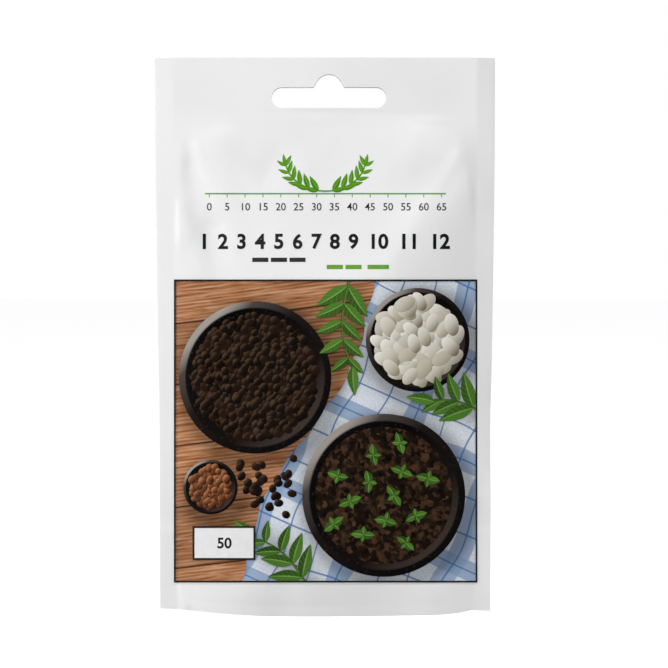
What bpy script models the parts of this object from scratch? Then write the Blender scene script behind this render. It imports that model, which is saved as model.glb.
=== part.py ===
# Seed packet: a stand-up pouch of white laminated film, with a euro hang slot.
# Metres, +Z up. The origin is on the ground under the middle of the packet.
# The printed face looks along -Y, and +X is to its right.

import math
import random

import bmesh
import bpy
from mathutils import Euler, Matrix, Vector

# Driving dimensions of the packet
WIDTH = 0.095            # across the flat packet, over both side seals
HEIGHT = 0.155           # from the standing rim to the top edge
SIDE_SEAL = 0.005        # width of each side seal
HEADER = 0.0155          # height of the flat top seal that holds the slot
FILM = 0.0003            # wall of one film
GAP = 0.0003             # clear space between two films that are sealed together
BASE_BOW = 0.0095        # how far each face stands out in the middle of the base
GUSSET_HEIGHT = 0.022    # height of the folded gusset in the side seals
GUSSET_SAG = 0.0045      # how much lower the fold is in the middle, where it is spread
BASE_SEAL = 0.004        # height of the seal between gusset and face, mid base

# Shape of the bowed faces
RISE_POWER = 2.8         # how late the bow fades on its way up to the header
CROSS_POWER = 2.3        # 2 is a parabola across the packet; more is flatter in the middle
SKEW = 0.10              # the bow is a little fuller on the right
SEAL_CURVE_POWER = 7     # how sharply the base seal turns up into the side seals
STEP_LOW = 0.023         # the side seals hold the gusset too, up to just above its fold
STEP_BLEND = 0.004       # height over which they thin out above it
STEP_EDGE = 0.15         # share of the half width in which that step dies out

# Euro slot, in the header
SLOT_WIDTH = 0.032
SLOT_BAR = 0.0058        # height of the slot's bar
SLOT_LOW = 0.1407        # height of the bar's lower edge above the ground
SLOT_SHIFT = 0.0012      # the slot is punched a little to the right of the middle
DOME_RADIUS = 0.0034     # round top of the slot's raised middle
DOME_RISE = 0.0034       # how far the dome stands above the bar
DOME_FLARE = 0.0013      # radius of the fillets where the dome meets the bar
CUT_DEPTH = 0.006        # how far the cutter reaches in front of and behind the films

# Seeds
SEED_RADIUS = 0.00148
SEED_SPACING = 0.0031    # between the seeds of a layer
SEED_JITTER = 0.00018    # how far a seed strays from its regular place
HEAP_HALF_LENGTH = 0.0225
HEAP_TOP = 0.0242        # height of the heap's top layer of seed centres, in the middle
HEAP_FALL = 0.0022       # how much lower that layer is at the heap's ends and sides
RANDOM_SEED = 7
CORE_SHARE = 0.96        # share of the heap's reach that its packed inside fills
LAYER_SHARE = 0.87       # share of the reach that the top and bottom layers keep to
RIM_SHARE = 0.93         # where the ring of seeds round the rim is
RIM_SEEDS = 30
CORE_EDGE_POWER = 4      # 2 is a round edge on the packed inside; more is a fuller one
SLOPE_STEP = 0.0002      # the distance over which the gusset's slope is measured

# How finely the shapes are divided
COLUMNS = 22             # between the two side seals
COLUMN_CROWDING = 0.35   # 0 spaces the columns evenly; 1 crowds them at the side seals
LOW_ROWS = 4             # rows of a face beside the gusset
HIGH_ROWS = 10           # rows of a face between the gusset and the header
GUSSET_SEAL_ROWS = 2
GUSSET_ARCH_ROWS = 7
BAR_END_STEPS = 10
FLARE_STEPS = 3
DOME_STEPS = 5
CORE_SEGMENTS = 28
CORE_RINGS = 10
WELD = 0.00001           # points closer than this are one

# Surfaces
WHITE_FILM = (0.78, 0.78, 0.79)
FILM_ROUGHNESS = 0.38
BROWN_SEED = (0.26, 0.10, 0.045)
SEED_ROUGHNESS = 0.6

INNER = WIDTH / 2 - SIDE_SEAL          # half the flat width between the side seals
BODY_TOP = HEIGHT - HEADER             # height where the header starts
SEALED = (GAP + FILM) / 2              # from the middle plane to the middle of a film


def smooth(t):
    """0 below 0, 1 above 1, with a soft start and end between them."""
    t = min(max(t, 0.0), 1.0)
    return t * t * (3 - 2 * t)


def middle_bow(z):
    """How far the middle of a face stands out at height z."""
    if z >= BODY_TOP:
        return 0.0
    return BASE_BOW * (1 - (z / BODY_TOP) ** RISE_POWER)


def bow(s, z):
    """How far a face stands out, at s across the flat film and z up."""
    u = s / INNER
    if abs(u) >= 1:
        return 0.0
    return middle_bow(z) * (1 - abs(u) ** CROSS_POWER) * (1 + SKEW * u)


def across(s, z):
    """Where a point of the flat film is in X, once the bow has pulled the sides in."""
    slope = CROSS_POWER**2 / (2 * CROSS_POWER - 1)
    drawn = INNER * (1 - 0.5 * slope * (middle_bow(z) / INNER) ** 2)
    if abs(s) <= INNER:
        return s * drawn / INNER
    return math.copysign(drawn + abs(s) - INNER, s)


def face_offset(s, z):
    """From the packet's middle plane to the middle of a face's wall."""
    room = smooth((STEP_LOW + STEP_BLEND - z) / STEP_BLEND)
    near_edge = smooth(1 - (1 - abs(s) / INNER) / STEP_EDGE)
    return SEALED + (FILM + GAP) * room * near_edge + bow(s, z)


def fold_height(s):
    """Height of the gusset's fold at s across the packet."""
    u = min(abs(s) / INNER, 1.0)
    return GUSSET_HEIGHT - GUSSET_SAG * (1 - u * u)


def leg_height(s):
    """Height up to which a gusset leg is sealed to its face."""
    u = min(abs(s) / INNER, 1.0)
    top = fold_height(s) - SEALED
    return BASE_SEAL + (top - BASE_SEAL) * u**SEAL_CURVE_POWER


def film_columns():
    """Distances across the flat film: its edges, its seal lines and the bowed part between."""
    inner = [INNER * math.sin(math.pi / 2 * (2 * i / COLUMNS - 1)) for i in range(COLUMNS + 1)]
    even = [INNER * (2 * i / COLUMNS - 1) for i in range(COLUMNS + 1)]
    mixed = [COLUMN_CROWDING * a + (1 - COLUMN_CROWDING) * b for a, b in zip(inner, even)]
    return [-WIDTH / 2] + mixed + [WIDTH / 2]


def face_rows():
    """Heights of a face's rows: beside the gusset, on the step above it, and up to the header."""
    low = [STEP_LOW * i / LOW_ROWS for i in range(LOW_ROWS)]
    step_top = STEP_LOW + STEP_BLEND
    step = [STEP_LOW, (STEP_LOW + step_top) / 2]
    high = [step_top + (BODY_TOP - step_top) * i / HIGH_ROWS for i in range(HIGH_ROWS + 1)]
    return low + step + high + [HEIGHT]


def bend_grid(name, columns, rows, place):
    """A grid primitive whose points are moved to place(column value, row value)."""
    mesh = bpy.data.meshes.new(name)
    grid = bmesh.new()
    bmesh.ops.create_grid(grid, x_segments=len(columns) - 1, y_segments=len(rows) - 1, size=0.5)
    for vertex in grid.verts:
        column = round((vertex.co.x + 0.5) * (len(columns) - 1))
        row = round((vertex.co.y + 0.5) * (len(rows) - 1))
        vertex.co = Vector(place(columns[column], rows[row]))
    bmesh.ops.triangulate(grid, faces=grid.faces)
    bmesh.ops.recalc_face_normals(grid, faces=grid.faces)
    grid.to_mesh(mesh)
    grid.free()
    return bpy.data.objects.new(name, mesh)


def give_wall(piece):
    """Turn a film's middle surface into a closed wall."""
    wall = piece.modifiers.new("wall", "SOLIDIFY")
    wall.thickness = FILM
    wall.offset = 0
    wall.use_even_offset = True


def arc(centre, radius, start, end, steps):
    """Points on an arc in the XZ plane, from one angle to another, in degrees."""
    angles = [math.radians(start + (end - start) * i / steps) for i in range(steps + 1)]
    return [(centre[0] + radius * math.cos(a), centre[1] + radius * math.sin(a)) for a in angles]


def slot_outline():
    """The euro slot: a bar with round ends, and a dome that fillets join to its upper side."""
    end = SLOT_BAR / 2
    middle = SLOT_LOW + end
    top = SLOT_LOW + SLOT_BAR
    dome = top + DOME_RISE - DOME_RADIUS
    rise = top + DOME_FLARE - dome
    reach = math.sqrt((DOME_RADIUS + DOME_FLARE) ** 2 - rise**2)
    touch = math.degrees(math.atan2(rise, reach))
    right = arc((SLOT_WIDTH / 2 - end, middle), end, -90, 90, BAR_END_STEPS)
    right += arc((reach, top + DOME_FLARE), DOME_FLARE, 270, 180 + touch, FLARE_STEPS)
    right += arc((0, dome), DOME_RADIUS, touch, 90, DOME_STEPS)[1:]
    left = [(-x, z) for x, z in reversed(right[:-1])]
    return [(x + SLOT_SHIFT, z) for x, z in right + left]


def make_slot_cutter(cutters):
    """The slot's outline as a flat curve, thickened and made a mesh that can cut."""
    curve = bpy.data.curves.new("slot_outline", "CURVE")
    curve.dimensions = "2D"
    curve.fill_mode = "BOTH"
    curve.extrude = CUT_DEPTH
    points = slot_outline()
    line = curve.splines.new("POLY")
    line.points.add(len(points) - 1)
    for point, (x, z) in zip(line.points, points):
        point.co = (x, z, 0, 1)
    line.use_cyclic_u = True
    guide = bpy.data.objects.new("slot_guide", curve)
    cutters.objects.link(guide)
    guide.rotation_euler = (math.pi / 2, 0, 0)
    bpy.context.view_layer.update()
    evaluated = guide.evaluated_get(bpy.context.evaluated_depsgraph_get())
    mesh = bpy.data.meshes.new_from_object(evaluated)
    shape = bmesh.new()
    shape.from_mesh(mesh)
    bmesh.ops.remove_doubles(shape, verts=shape.verts, dist=WELD)
    bmesh.ops.recalc_face_normals(shape, faces=shape.faces)
    shape.to_mesh(mesh)
    shape.free()
    cutter = bpy.data.objects.new("slot_cutter", mesh)
    cutter.matrix_world = guide.matrix_world.copy()
    bpy.data.objects.remove(guide)
    cutters.objects.link(cutter)
    cutter.hide_render = True
    cutter.display_type = "WIRE"
    return cutter


def make_face(name, side, cutter):
    """One face of the packet: side is -1 for the front and 1 for the back."""

    def place(s, z):
        return across(s, z), side * face_offset(s, z), z

    face = bend_grid(name, film_columns(), face_rows(), place)
    give_wall(face)
    slot = face.modifiers.new("slot", "BOOLEAN")
    slot.operation = "DIFFERENCE"
    slot.object = cutter
    return face


def gusset_rows():
    """Steps along the gusset from its front rim, -1, over the fold, 0, to its back rim, 1."""
    seal = [2 - i / GUSSET_SEAL_ROWS for i in range(GUSSET_SEAL_ROWS)]
    arch = [1 - i / GUSSET_ARCH_ROWS for i in range(GUSSET_ARCH_ROWS)]
    leg = seal + arch
    return [-step for step in leg] + [0.0] + leg[::-1]


def gusset_point(s, step):
    """A point of the gusset: steps 1 to 2 are on the base seal, 0 to 1 on the arch above it."""
    side = math.copysign(1, step)
    step = abs(step)
    sealed_to = leg_height(s)
    if step >= 1:
        z = sealed_to * (2 - step)
        return across(s, z), side * (face_offset(s, z) - FILM - GAP), z
    foot = face_offset(s, sealed_to) - FILM - GAP
    turn = math.pi / 2 * step
    z = sealed_to + (fold_height(s) - sealed_to) * math.cos(turn)
    return across(s, z), side * foot * math.sin(turn), z


def make_gusset():
    """The folded film between the two faces at the base."""
    gusset = bend_grid("bottom_gusset", film_columns(), gusset_rows(), gusset_point)
    give_wall(gusset)
    return gusset


def gusset_top(x, y):
    """Height of the gusset's middle surface over a point of the ground."""
    sealed_to = leg_height(x)
    foot = face_offset(x, sealed_to) - FILM - GAP
    reach = min(abs(y) / foot, 1.0)
    return sealed_to + (fold_height(x) - sealed_to) * math.sqrt(1 - reach * reach)


def heap_half_depth(x):
    """How far a seed's centre can be from the middle plane, between the two faces."""
    return face_offset(x, HEAP_TOP) - SEED_RADIUS - GAP - FILM / 2


def heap_floor(x, y):
    """Height of a seed's centre where the seed lies on the gusset, clear of its slope."""
    slope = (gusset_top(x, abs(y) + SLOPE_STEP) - gusset_top(x, abs(y))) / SLOPE_STEP
    clear = SEED_RADIUS + GAP + FILM / 2
    return gusset_top(x, y) + clear * math.hypot(1, slope)


def heap_roof(x, y):
    """Height of a seed's centre in the heap's top layer."""
    across_heap = y / heap_half_depth(x)
    along_heap = x / HEAP_HALF_LENGTH
    return max(HEAP_TOP - HEAP_FALL * (across_heap**2 + along_heap**2), heap_floor(x, y))


def heap_reach(x, y):
    """0 in the middle of the heap and 1 at its rim."""
    return math.hypot(x / HEAP_HALF_LENGTH, y / heap_half_depth(x))


def make_heap_core():
    """The packed inside of the heap: a sphere spread over the gusset, which the seeds stand out of."""
    mesh = bpy.data.meshes.new("seeds")
    shape = bmesh.new()
    bmesh.ops.create_uvsphere(shape, u_segments=CORE_SEGMENTS, v_segments=CORE_RINGS, radius=1)
    for vertex in shape.verts:
        x = vertex.co.x * HEAP_HALF_LENGTH * CORE_SHARE
        y = vertex.co.y * heap_half_depth(x) * CORE_SHARE
        reach = min(math.hypot(vertex.co.x, vertex.co.y), 1.0)
        level = math.copysign(math.sqrt(1 - reach**CORE_EDGE_POWER), vertex.co.z)
        floor = heap_floor(x, y)
        vertex.co = (x, y, floor + (heap_roof(x, y) - floor) * (1 + level) / 2)
    shape.to_mesh(mesh)
    shape.free()
    return bpy.data.objects.new("seeds", mesh)


def seed_places(draw):
    """Centres of the outer seeds: staggered rows over the top and underside, and a ring round the rim."""
    row_step = SEED_SPACING * math.sqrt(3) / 2
    rows = math.ceil(heap_half_depth(0) / row_step) + 1
    columns = math.ceil(HEAP_HALF_LENGTH / SEED_SPACING) + 1
    places = []
    for surface in (heap_roof, heap_floor):
        for row in range(-rows, rows + 1):
            for column in range(-columns, columns + 1):
                x = (column + (row % 2) / 2) * SEED_SPACING + draw.uniform(-SEED_JITTER, SEED_JITTER)
                y = row * row_step + draw.uniform(-SEED_JITTER, SEED_JITTER)
                if abs(x) < HEAP_HALF_LENGTH and heap_reach(x, y) < LAYER_SHARE:
                    places.append(Vector((x, y, surface(x, y))))
    for i in range(RIM_SEEDS):
        angle = math.tau * i / RIM_SEEDS
        x = RIM_SHARE * HEAP_HALF_LENGTH * math.cos(angle)
        y = RIM_SHARE * heap_half_depth(x) * math.sin(angle)
        places.append(Vector((x, y, (heap_floor(x, y) + heap_roof(x, y)) / 2)))
    return places


def make_seed(place, draw):
    """One round seed, turned any way."""
    mesh = bpy.data.meshes.new("seed")
    shape = bmesh.new()
    bmesh.ops.create_icosphere(shape, subdivisions=1, radius=SEED_RADIUS)
    turn = Euler([draw.uniform(0, math.tau) for _ in range(3)]).to_matrix().to_4x4()
    bmesh.ops.transform(shape, matrix=Matrix.Translation(place) @ turn, verts=shape.verts)
    shape.to_mesh(mesh)
    shape.free()
    return bpy.data.objects.new("seed", mesh)


def make_seeds():
    """The heap of seeds over the gusset, as one body."""
    draw = random.Random(RANDOM_SEED)
    pile = bpy.data.collections.new("seed_pile")
    for place in seed_places(draw):
        pile.objects.link(make_seed(place, draw))
    heap = make_heap_core()
    join = heap.modifiers.new("join", "BOOLEAN")
    join.operation = "UNION"
    join.operand_type = "COLLECTION"
    join.collection = pile
    join.solver = "MANIFOLD"
    return heap, pile


def apply_join(heap, pile):
    """Keep the joined mesh, and remove the single seeds."""
    evaluated = heap.evaluated_get(bpy.context.evaluated_depsgraph_get())
    mesh = bpy.data.meshes.new_from_object(evaluated)
    heap.modifiers.clear()
    heap.data = mesh
    for seed in list(pile.objects):
        bpy.data.objects.remove(seed)
    bpy.data.collections.remove(pile)


def make_material(name, colour, roughness):
    """A plain non-metal surface."""
    material = bpy.data.materials.new(name)
    material.use_nodes = True
    shader = material.node_tree.nodes["Principled BSDF"]
    shader.inputs["Base Color"].default_value = (*colour, 1)
    shader.inputs["Roughness"].default_value = roughness
    shader.inputs["Metallic"].default_value = 0
    return material


def main():
    for old in list(bpy.data.objects):
        bpy.data.objects.remove(old)
    packet = bpy.data.collections.new("seed_packet")
    cutters = bpy.data.collections.new("cutters")
    bpy.context.scene.collection.children.link(packet)
    bpy.context.scene.collection.children.link(cutters)

    cutter = make_slot_cutter(cutters)
    films = [
        make_face("front_film", -1, cutter),
        make_face("back_film", 1, cutter),
        make_gusset(),
    ]
    seeds, pile = make_seeds()
    for film in films:
        film.data.materials.append(make_material(film.name, WHITE_FILM, FILM_ROUGHNESS))
        film.data.shade_smooth()
        packet.objects.link(film)
    seeds.data.materials.append(make_material("seeds", BROWN_SEED, SEED_ROUGHNESS))
    packet.objects.link(seeds)
    apply_join(seeds, pile)


main()
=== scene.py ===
# %% [markdown]
# # A seed packet
# A seed packet is a small stand-up pouch. Two faces of white laminated film are heated together along both
# sides and across the top, and a third film, folded inwards between them at the bottom, lets it stand. This
# notebook gives the packet its looks. The solid model of the same packet is loaded first and never moves: it
# says how big everything is, and each new piece is laid where its solid is.

# %% Load the frame
import math
import random

import bmesh
import bpy
import numpy as np
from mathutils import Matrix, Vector


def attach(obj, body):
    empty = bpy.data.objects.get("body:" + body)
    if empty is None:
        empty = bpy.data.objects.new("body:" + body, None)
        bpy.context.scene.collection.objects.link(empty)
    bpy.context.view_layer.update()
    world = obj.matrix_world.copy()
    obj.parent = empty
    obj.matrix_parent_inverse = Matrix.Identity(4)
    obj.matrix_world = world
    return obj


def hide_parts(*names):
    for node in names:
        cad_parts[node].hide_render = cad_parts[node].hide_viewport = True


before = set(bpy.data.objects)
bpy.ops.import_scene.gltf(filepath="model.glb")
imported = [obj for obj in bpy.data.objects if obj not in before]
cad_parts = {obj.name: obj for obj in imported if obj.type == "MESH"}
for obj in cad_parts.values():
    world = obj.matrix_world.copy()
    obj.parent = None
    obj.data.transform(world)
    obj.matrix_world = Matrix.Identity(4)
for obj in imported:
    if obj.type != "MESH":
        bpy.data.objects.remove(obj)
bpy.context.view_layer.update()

MM = 0.001

# %% [markdown]
# ## The camera
# The photo looks straight at the front face, from about half a metre, a little from the packet's right and
# hardly above its middle. A camera can be moved by eye until the outlines agree, or worked out from a
# distance and two angles. The second way is used, because the print is later thrown onto the film along
# lines to the camera. The lens follows from the distance: the whole picture is as wide as 668 pixels of
# 0.2798 mm at the packet's middle plane.

# %% Place the camera
PHOTO_PIXELS = 668
PIXEL = 0.2798 * MM                      # one pixel of the photo, at the packet's middle plane
SENSOR = 36.0                            # width of the camera's sensor, in millimetres
CAMERA_DISTANCE = 480 * MM
CAMERA_TURN = math.radians(1.2)          # to the packet's right
CAMERA_RISE = math.radians(1.8)
AIM = Vector((2.6 * MM, 0, 78.0 * MM))   # what the middle of the picture shows

camera_data = bpy.data.cameras.new("camera")
camera_data.sensor_width = SENSOR
camera_data.lens = SENSOR * CAMERA_DISTANCE / (PHOTO_PIXELS * PIXEL)
camera = bpy.data.objects.new("camera", camera_data)
bpy.context.scene.collection.objects.link(camera)
away = Vector((
    math.sin(CAMERA_TURN) * math.cos(CAMERA_RISE),
    -math.cos(CAMERA_TURN) * math.cos(CAMERA_RISE),
    math.sin(CAMERA_RISE),
))
EYE = AIM + CAMERA_DISTANCE * away
camera.location = EYE
camera.rotation_euler = (-away).to_track_quat("-Z", "Y").to_euler()
bpy.context.scene.camera = camera
print("lens, mm:", round(camera_data.lens, 1))

# %% [markdown]
# ## The packet's measures
# The packet was cut flat, 95 mm by 155 mm, and sealed along its sides and its header, the flat band at the
# top. These lengths are those of the solid model. The film is thinner than there: real packet film is about
# 0.1 mm, and a wall any thicker would show at the slot and the rim.

# %% Say how big the packet is
WIDTH = 95 * MM
HEIGHT = 155 * MM
SIDE_SEAL = 5 * MM
HEADER = 15.5 * MM
FILM = 0.14 * MM                         # wall of one film
GAP = 0.05 * MM                          # clear space between two films that are sealed together

INNER = WIDTH / 2 - SIDE_SEAL            # from the middle to a side seal
BODY_TOP = HEIGHT - HEADER
SEALED = (GAP + FILM) / 2                # from the middle plane to a face's wall, in a seal
print("between the seals, mm:", round(2 * INNER / MM, 1), "by", round(BODY_TOP / MM, 1))

# %% [markdown]
# ## The bow of the faces
# Seeds and air push the faces apart at the base, and the push fades towards the header. A cloth simulation
# could blow the pouch up, but it would find a width and a height of its own. A formula keeps the measured
# ones and gives the shape at every point, so the film can be divided as finely as its folds need. Film bends
# but hardly stretches, so what goes into the bow is missing from the width: across() draws the sides in by
# that.

# %% Shape the bow
BASE_BOW = 9.5 * MM                      # how far each face stands out in the middle of the base
RISE_POWER = 2.8                         # how late the bow fades on its way up
CROSS_POWER = 2.3                        # 2 is a parabola across; more is flatter in the middle
UPPER_POWER = 3.8                        # the same further up, where the film is drawn flat by the header
UPPER_START = 80 * MM
SKEW_LOW = -0.08                         # the bow is a little fuller on the left at the base
SKEW_HIGH = 0.14                         # and on the right further up
TUCK = 1.2 * MM                          # how far the rim is drawn in again under the bow
TUCK_HEIGHT = 17 * MM


def smooth(share):
    """0 below 0, 1 above 1, with a soft start and end between them."""
    share = np.clip(share, 0, 1)
    return share * share * (3 - 2 * share)


def middle_bow(z):
    return BASE_BOW * (1 - np.clip(z / BODY_TOP, 0, 1) ** RISE_POWER)


def bow(s, z):
    """How far a face stands out."""
    u = np.clip(s / INNER, -1, 1)
    power = CROSS_POWER + (UPPER_POWER - CROSS_POWER) * smooth(z / UPPER_START)
    skew = SKEW_LOW + (SKEW_HIGH - SKEW_LOW) * smooth(z / UPPER_START)
    arch = 1 - np.abs(u) ** power
    tucked = middle_bow(z) - TUCK * np.clip(1 - z / TUCK_HEIGHT, 0, 1) ** 2 * arch
    return tucked * arch * (1 + skew * u)


print("bow halfway up, mm:", round(float(bow(0, HEIGHT / 2)) / MM, 1))

# %% Draw the sides in
DRAW = 0.65                              # the film gives a little, so it pulls the sides in less


def drawn_half(z):
    """Half the width between the side seals, once the bow has pulled them in."""
    slope = CROSS_POWER**2 / (2 * CROSS_POWER - 1)
    return INNER * (1 - 0.5 * DRAW * slope * (middle_bow(z) / INNER) ** 2)


def across(s, z):
    """Where a point of the flat film, s from its middle, is in X."""
    drawn = drawn_half(z)
    return np.where(np.abs(s) <= INNER, s * drawn / INNER, np.copysign(drawn + np.abs(s) - INNER, s))


def along_film(x, z):
    """The point of the flat film that is at x: across(), turned round."""
    drawn = drawn_half(z)
    return np.where(np.abs(x) <= drawn, x * INNER / drawn, np.copysign(np.abs(x) - drawn + INNER, x))


print("sides drawn in at the base, mm:", round(float(INNER - drawn_half(0)) / MM, 2), "each")

# %% [markdown]
# ## Room for the gusset
# Below its fold the gusset lies between the faces, so near the side seals they leave room for its film, and
# just above the fold they close again. Where the seals are four films thick the step can be felt with a
# nail. The lower part could be a piece of its own, but a soft step in the formula keeps each face whole.

# %% Leave room for the gusset
STEP_LOW = 22.4 * MM                     # the faces close again just above the gusset
STEP_BLEND = 1.8 * MM
STEP_EDGE = 0.15                         # share of the half width where the room opens


def face_offset(s, z):
    """From the packet's middle plane to the middle of a face's wall."""
    room = smooth((STEP_LOW + STEP_BLEND - z) / STEP_BLEND)
    near_edge = smooth(1 - (1 - np.abs(s) / INNER) / STEP_EDGE)
    return SEALED + (FILM + GAP) * room * near_edge + bow(s, z)


print("faces stand apart at the base, mm:", round(float(2 * face_offset(0, 0)) / MM, 1))

# %% [markdown]
# ## Folds in the film
# Laminated film is stiff and doesn't stretch, so where the flat header turns into the full body it buckles
# into long soft folds that start at the upper corners. A simulation makes such folds too, but never the same
# ones as in the photo. So each is given as a line on the face with a half width at both ends and a height.
# A negative height is a valley.

# %% List the folds
# x and z of one end, half width there; x and z of the other end, half width there; height. Millimetres.
FRONT_FOLDS = [
    (-38.5, 131.0, 2.2, -28.0, 92.0, 7.0, -1.25),    # long valley from the upper left corner
    (-31.0, 107.0, 4.0, -27.5, 88.0, 6.5, -1.00),    # where it deepens
    (-21.0, 112.0, 5.0, -18.0, 90.0, 9.0, -0.50),    # and where it rises slowly to the middle
    (-40.5, 114.0, 2.4, -39.6, 106.0, 3.0, 0.60),    # swelling between it and the seal
    (-37.0, 130.5, 4.5, -31.0, 129.5, 6.0, 0.85),    # swellings below the header
    (-29.0, 135.0, 4.0, -25.0, 124.0, 5.0, 0.25),
    (0.0, 132.0, 8.0, 3.0, 124.0, 8.0, -0.70),       # hollow between them
    (26.0, 129.0, 7.0, 36.0, 127.0, 6.0, 0.70),
    (-12.0, 127.0, 4.5, -16.0, 122.0, 4.0, -0.55),   # soft hollows left of the middle
    (-24.0, 121.5, 3.0, -22.5, 118.5, 3.0, -0.22),
    (-24.0, 109.5, 1.5, -22.0, 105.0, 1.5, 0.06),    # small wrinkles
    (22.5, 110.0, 1.5, 24.0, 106.0, 1.5, 0.06),
    (40.0, 118.0, 7.0, 15.0, 91.0, 12.0, 1.50),      # broad ridge from the upper right corner
    (37.0, 127.0, 2.0, 19.0, 100.0, 3.5, 0.22),      # and a small one beside it
    (-42.0, 137.6, 0.8, -33.0, 138.2, 0.8, 0.28),    # creases along the lower edge of the header
    (-21.0, 138.4, 0.7, -14.0, 138.8, 0.7, 0.20),
    (26.0, 138.2, 1.0, 42.0, 137.6, 0.9, 0.36),
    (-21.0, 34.0, 8.0, -19.0, 9.0, 7.0, 1.20),       # the seeds push the film out
    (8.0, 20.0, 18.0, 8.0, 0.0, 18.0, -0.60),        # it hollows beside them
    (-1.0, 11.5, 6.5, 7.0, 11.5, 7.0, 1.00),         # and hangs over the rim in the middle
    (31.0, 6.0, 6.0, 31.0, 0.0, 7.0, 1.10),          # and at the right
    (20.0, 44.0, 10.0, 30.0, 30.0, 9.0, 0.20),
    (-36.0, 3.0, 0.8, 36.0, 3.0, 0.8, -0.05),        # upper edge of the base's seal
    (-41.2, 7.0, 0.8, -38.4, 1.4, 0.9, 0.45),        # crease at the lower left corner
    (37.0, 9.0, 3.0, 38.0, 2.0, 2.5, 0.10),          # and at the lower right one
]
BACK_FOLDS = [
    (-40.0, 134.0, 3.0, -24.0, 101.0, 7.0, 0.65),
    (41.0, 134.0, 2.0, 28.0, 96.0, 6.0, -0.70),
    (33.0, 137.0, 3.0, 17.0, 104.0, 7.0, 0.50),
    (12.0, 131.0, 5.0, 16.0, 119.0, 4.0, -0.25),
    (-41.0, 110.0, 2.0, -37.0, 86.0, 4.0, -0.40),
    (-6.0, 96.0, 10.0, 10.0, 74.0, 12.0, 0.25),
    (-28.0, 48.0, 9.0, -20.0, 28.0, 9.0, 0.25),
    (37.0, 8.0, 3.0, 38.5, 2.0, 1.5, 0.25),
]
print(len(FRONT_FOLDS), "folds in front,", len(BACK_FOLDS), "behind")

# %% [markdown]
# ## Adding the folds up
# Across a fold, springy film has a soft bell shape. Sharp creases could be bevelled edges, but this packet
# has hardly any, so relief() adds bell shapes up, and stand() gives a face its bow and its folds together.
# Folds fade out where the bow does, because in the seals the film is flat.

# %% Add the folds to a face
FOLD_START = 0.8 * MM                    # folds reach full height where the bow is this deep


def relief(x, z, folds):
    """How far the folds lift a face at x and z."""
    total = np.zeros_like(x)
    for x0, z0, width0, x1, z1, width1, height in folds:
        start = np.array((x0, z0)) * MM
        way = np.array((x1 - x0, z1 - z0)) * MM
        share = np.clip(((x - start[0]) * way[0] + (z - start[1]) * way[1]) / (way @ way), 0, 1)
        from_line = np.hypot(x - start[0] - share * way[0], z - start[1] - share * way[1])
        width = (width0 + (width1 - width0) * share) * MM
        total += height * MM * np.exp(-((from_line / width) ** 2))
    return total


def stand(s, z, folds):
    """From the middle plane to the middle of a face's wall, with its folds."""
    mask = smooth(bow(s, z) / FOLD_START)
    return face_offset(s, z) + mask * relief(across(s, z), z, folds)


heights = [fold[-1] for fold in FRONT_FOLDS]
print("front folds, mm:", min(heights), "to", max(heights))

# %% [markdown]
# ## Seals that lean, and the cut of the rim
# Seals are flat bands of film, but not quite straight ones: the full body pulls on them, so they lean back,
# their outer edges curl, and the upper right corner stands back from the rest. The rim was cut a little
# higher at the side seals. A lattice could bend the finished packet, but numbers are easier to match to the
# shading and the outline in the photo, and every film and printed sheet can share them.

# %% Lean the seals
SEAL_LEAN = 0.19                         # slope of the side seals, backwards
LEFT_FOOT_LEAN = 0.08                    # how much of a slope the left one has at its foot
LEFT_LEAN_START = 20 * MM
LEFT_LEAN_BLEND = 70 * MM
RIGHT_SWELL = 0.38                       # how much more the right one leans around the height below
RIGHT_SWELL_HEIGHT = 56 * MM
RIGHT_SWELL_REACH = 13 * MM
RIGHT_FOOT_TURN = 0.40                   # how much its foot turns forwards, from the top below
RIGHT_FOOT_TOP = 44 * MM
RIGHT_FOOT_BLEND = 14 * MM
EDGE_CURL = 0.10 * MM                    # curl of the outer edges, and how wide it is
EDGE_CURL_WIDTH = 0.8 * MM
CORNER_LEAN = 1.5 * MM                   # how far back the upper right corner stands
CORNER_START = 95 * MM
CORNER_BLEND = 50 * MM
LIP = 0.30 * MM                          # how far the slot's lower edge stands forward, and where
LIP_MIDDLE = (-3 * MM, 141.4 * MM)
LIP_REACH = (9 * MM, 1.1 * MM)


def bump(z, middle, width):
    """1 at the middle, fading to 0 on both sides."""
    return np.exp(-(((z - middle) / width) ** 2))


def lean(s, z):
    """How far both films together stand back from the middle plane, in the seals and the header."""
    beyond = np.maximum(np.abs(s) - INNER, 0)
    curl = np.maximum(np.abs(s) - (WIDTH / 2 - EDGE_CURL_WIDTH), 0) / EDGE_CURL_WIDTH
    left = SEAL_LEAN * smooth((z - LEFT_LEAN_START) / LEFT_LEAN_BLEND) + LEFT_FOOT_LEAN
    swell = RIGHT_SWELL * bump(z, RIGHT_SWELL_HEIGHT, RIGHT_SWELL_REACH)
    right = SEAL_LEAN + swell - RIGHT_FOOT_TURN * smooth((RIGHT_FOOT_TOP - z) / RIGHT_FOOT_BLEND)
    corner = CORNER_LEAN * smooth(s / INNER) * smooth((z - CORNER_START) / CORNER_BLEND)
    lip = -LIP * bump(z, LIP_MIDDLE[1], LIP_REACH[1]) * bump(s, LIP_MIDDLE[0], LIP_REACH[0])
    return np.where(s < 0, left, right) * beyond + EDGE_CURL * curl**2 + corner + lip


print("upper right corner stands back, mm:", round(float(lean(WIDTH / 2, HEIGHT)) / MM, 1))

# %% Cut the rim
CUT_LIFT = 0.50 * MM                     # how much higher the rim is cut at the side seals
CUT_FADE = 8 * MM
CUT_START_LEFT = 0.25                    # where it starts to rise, as a share of the half width
CUT_START_RIGHT = 0.85


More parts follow.
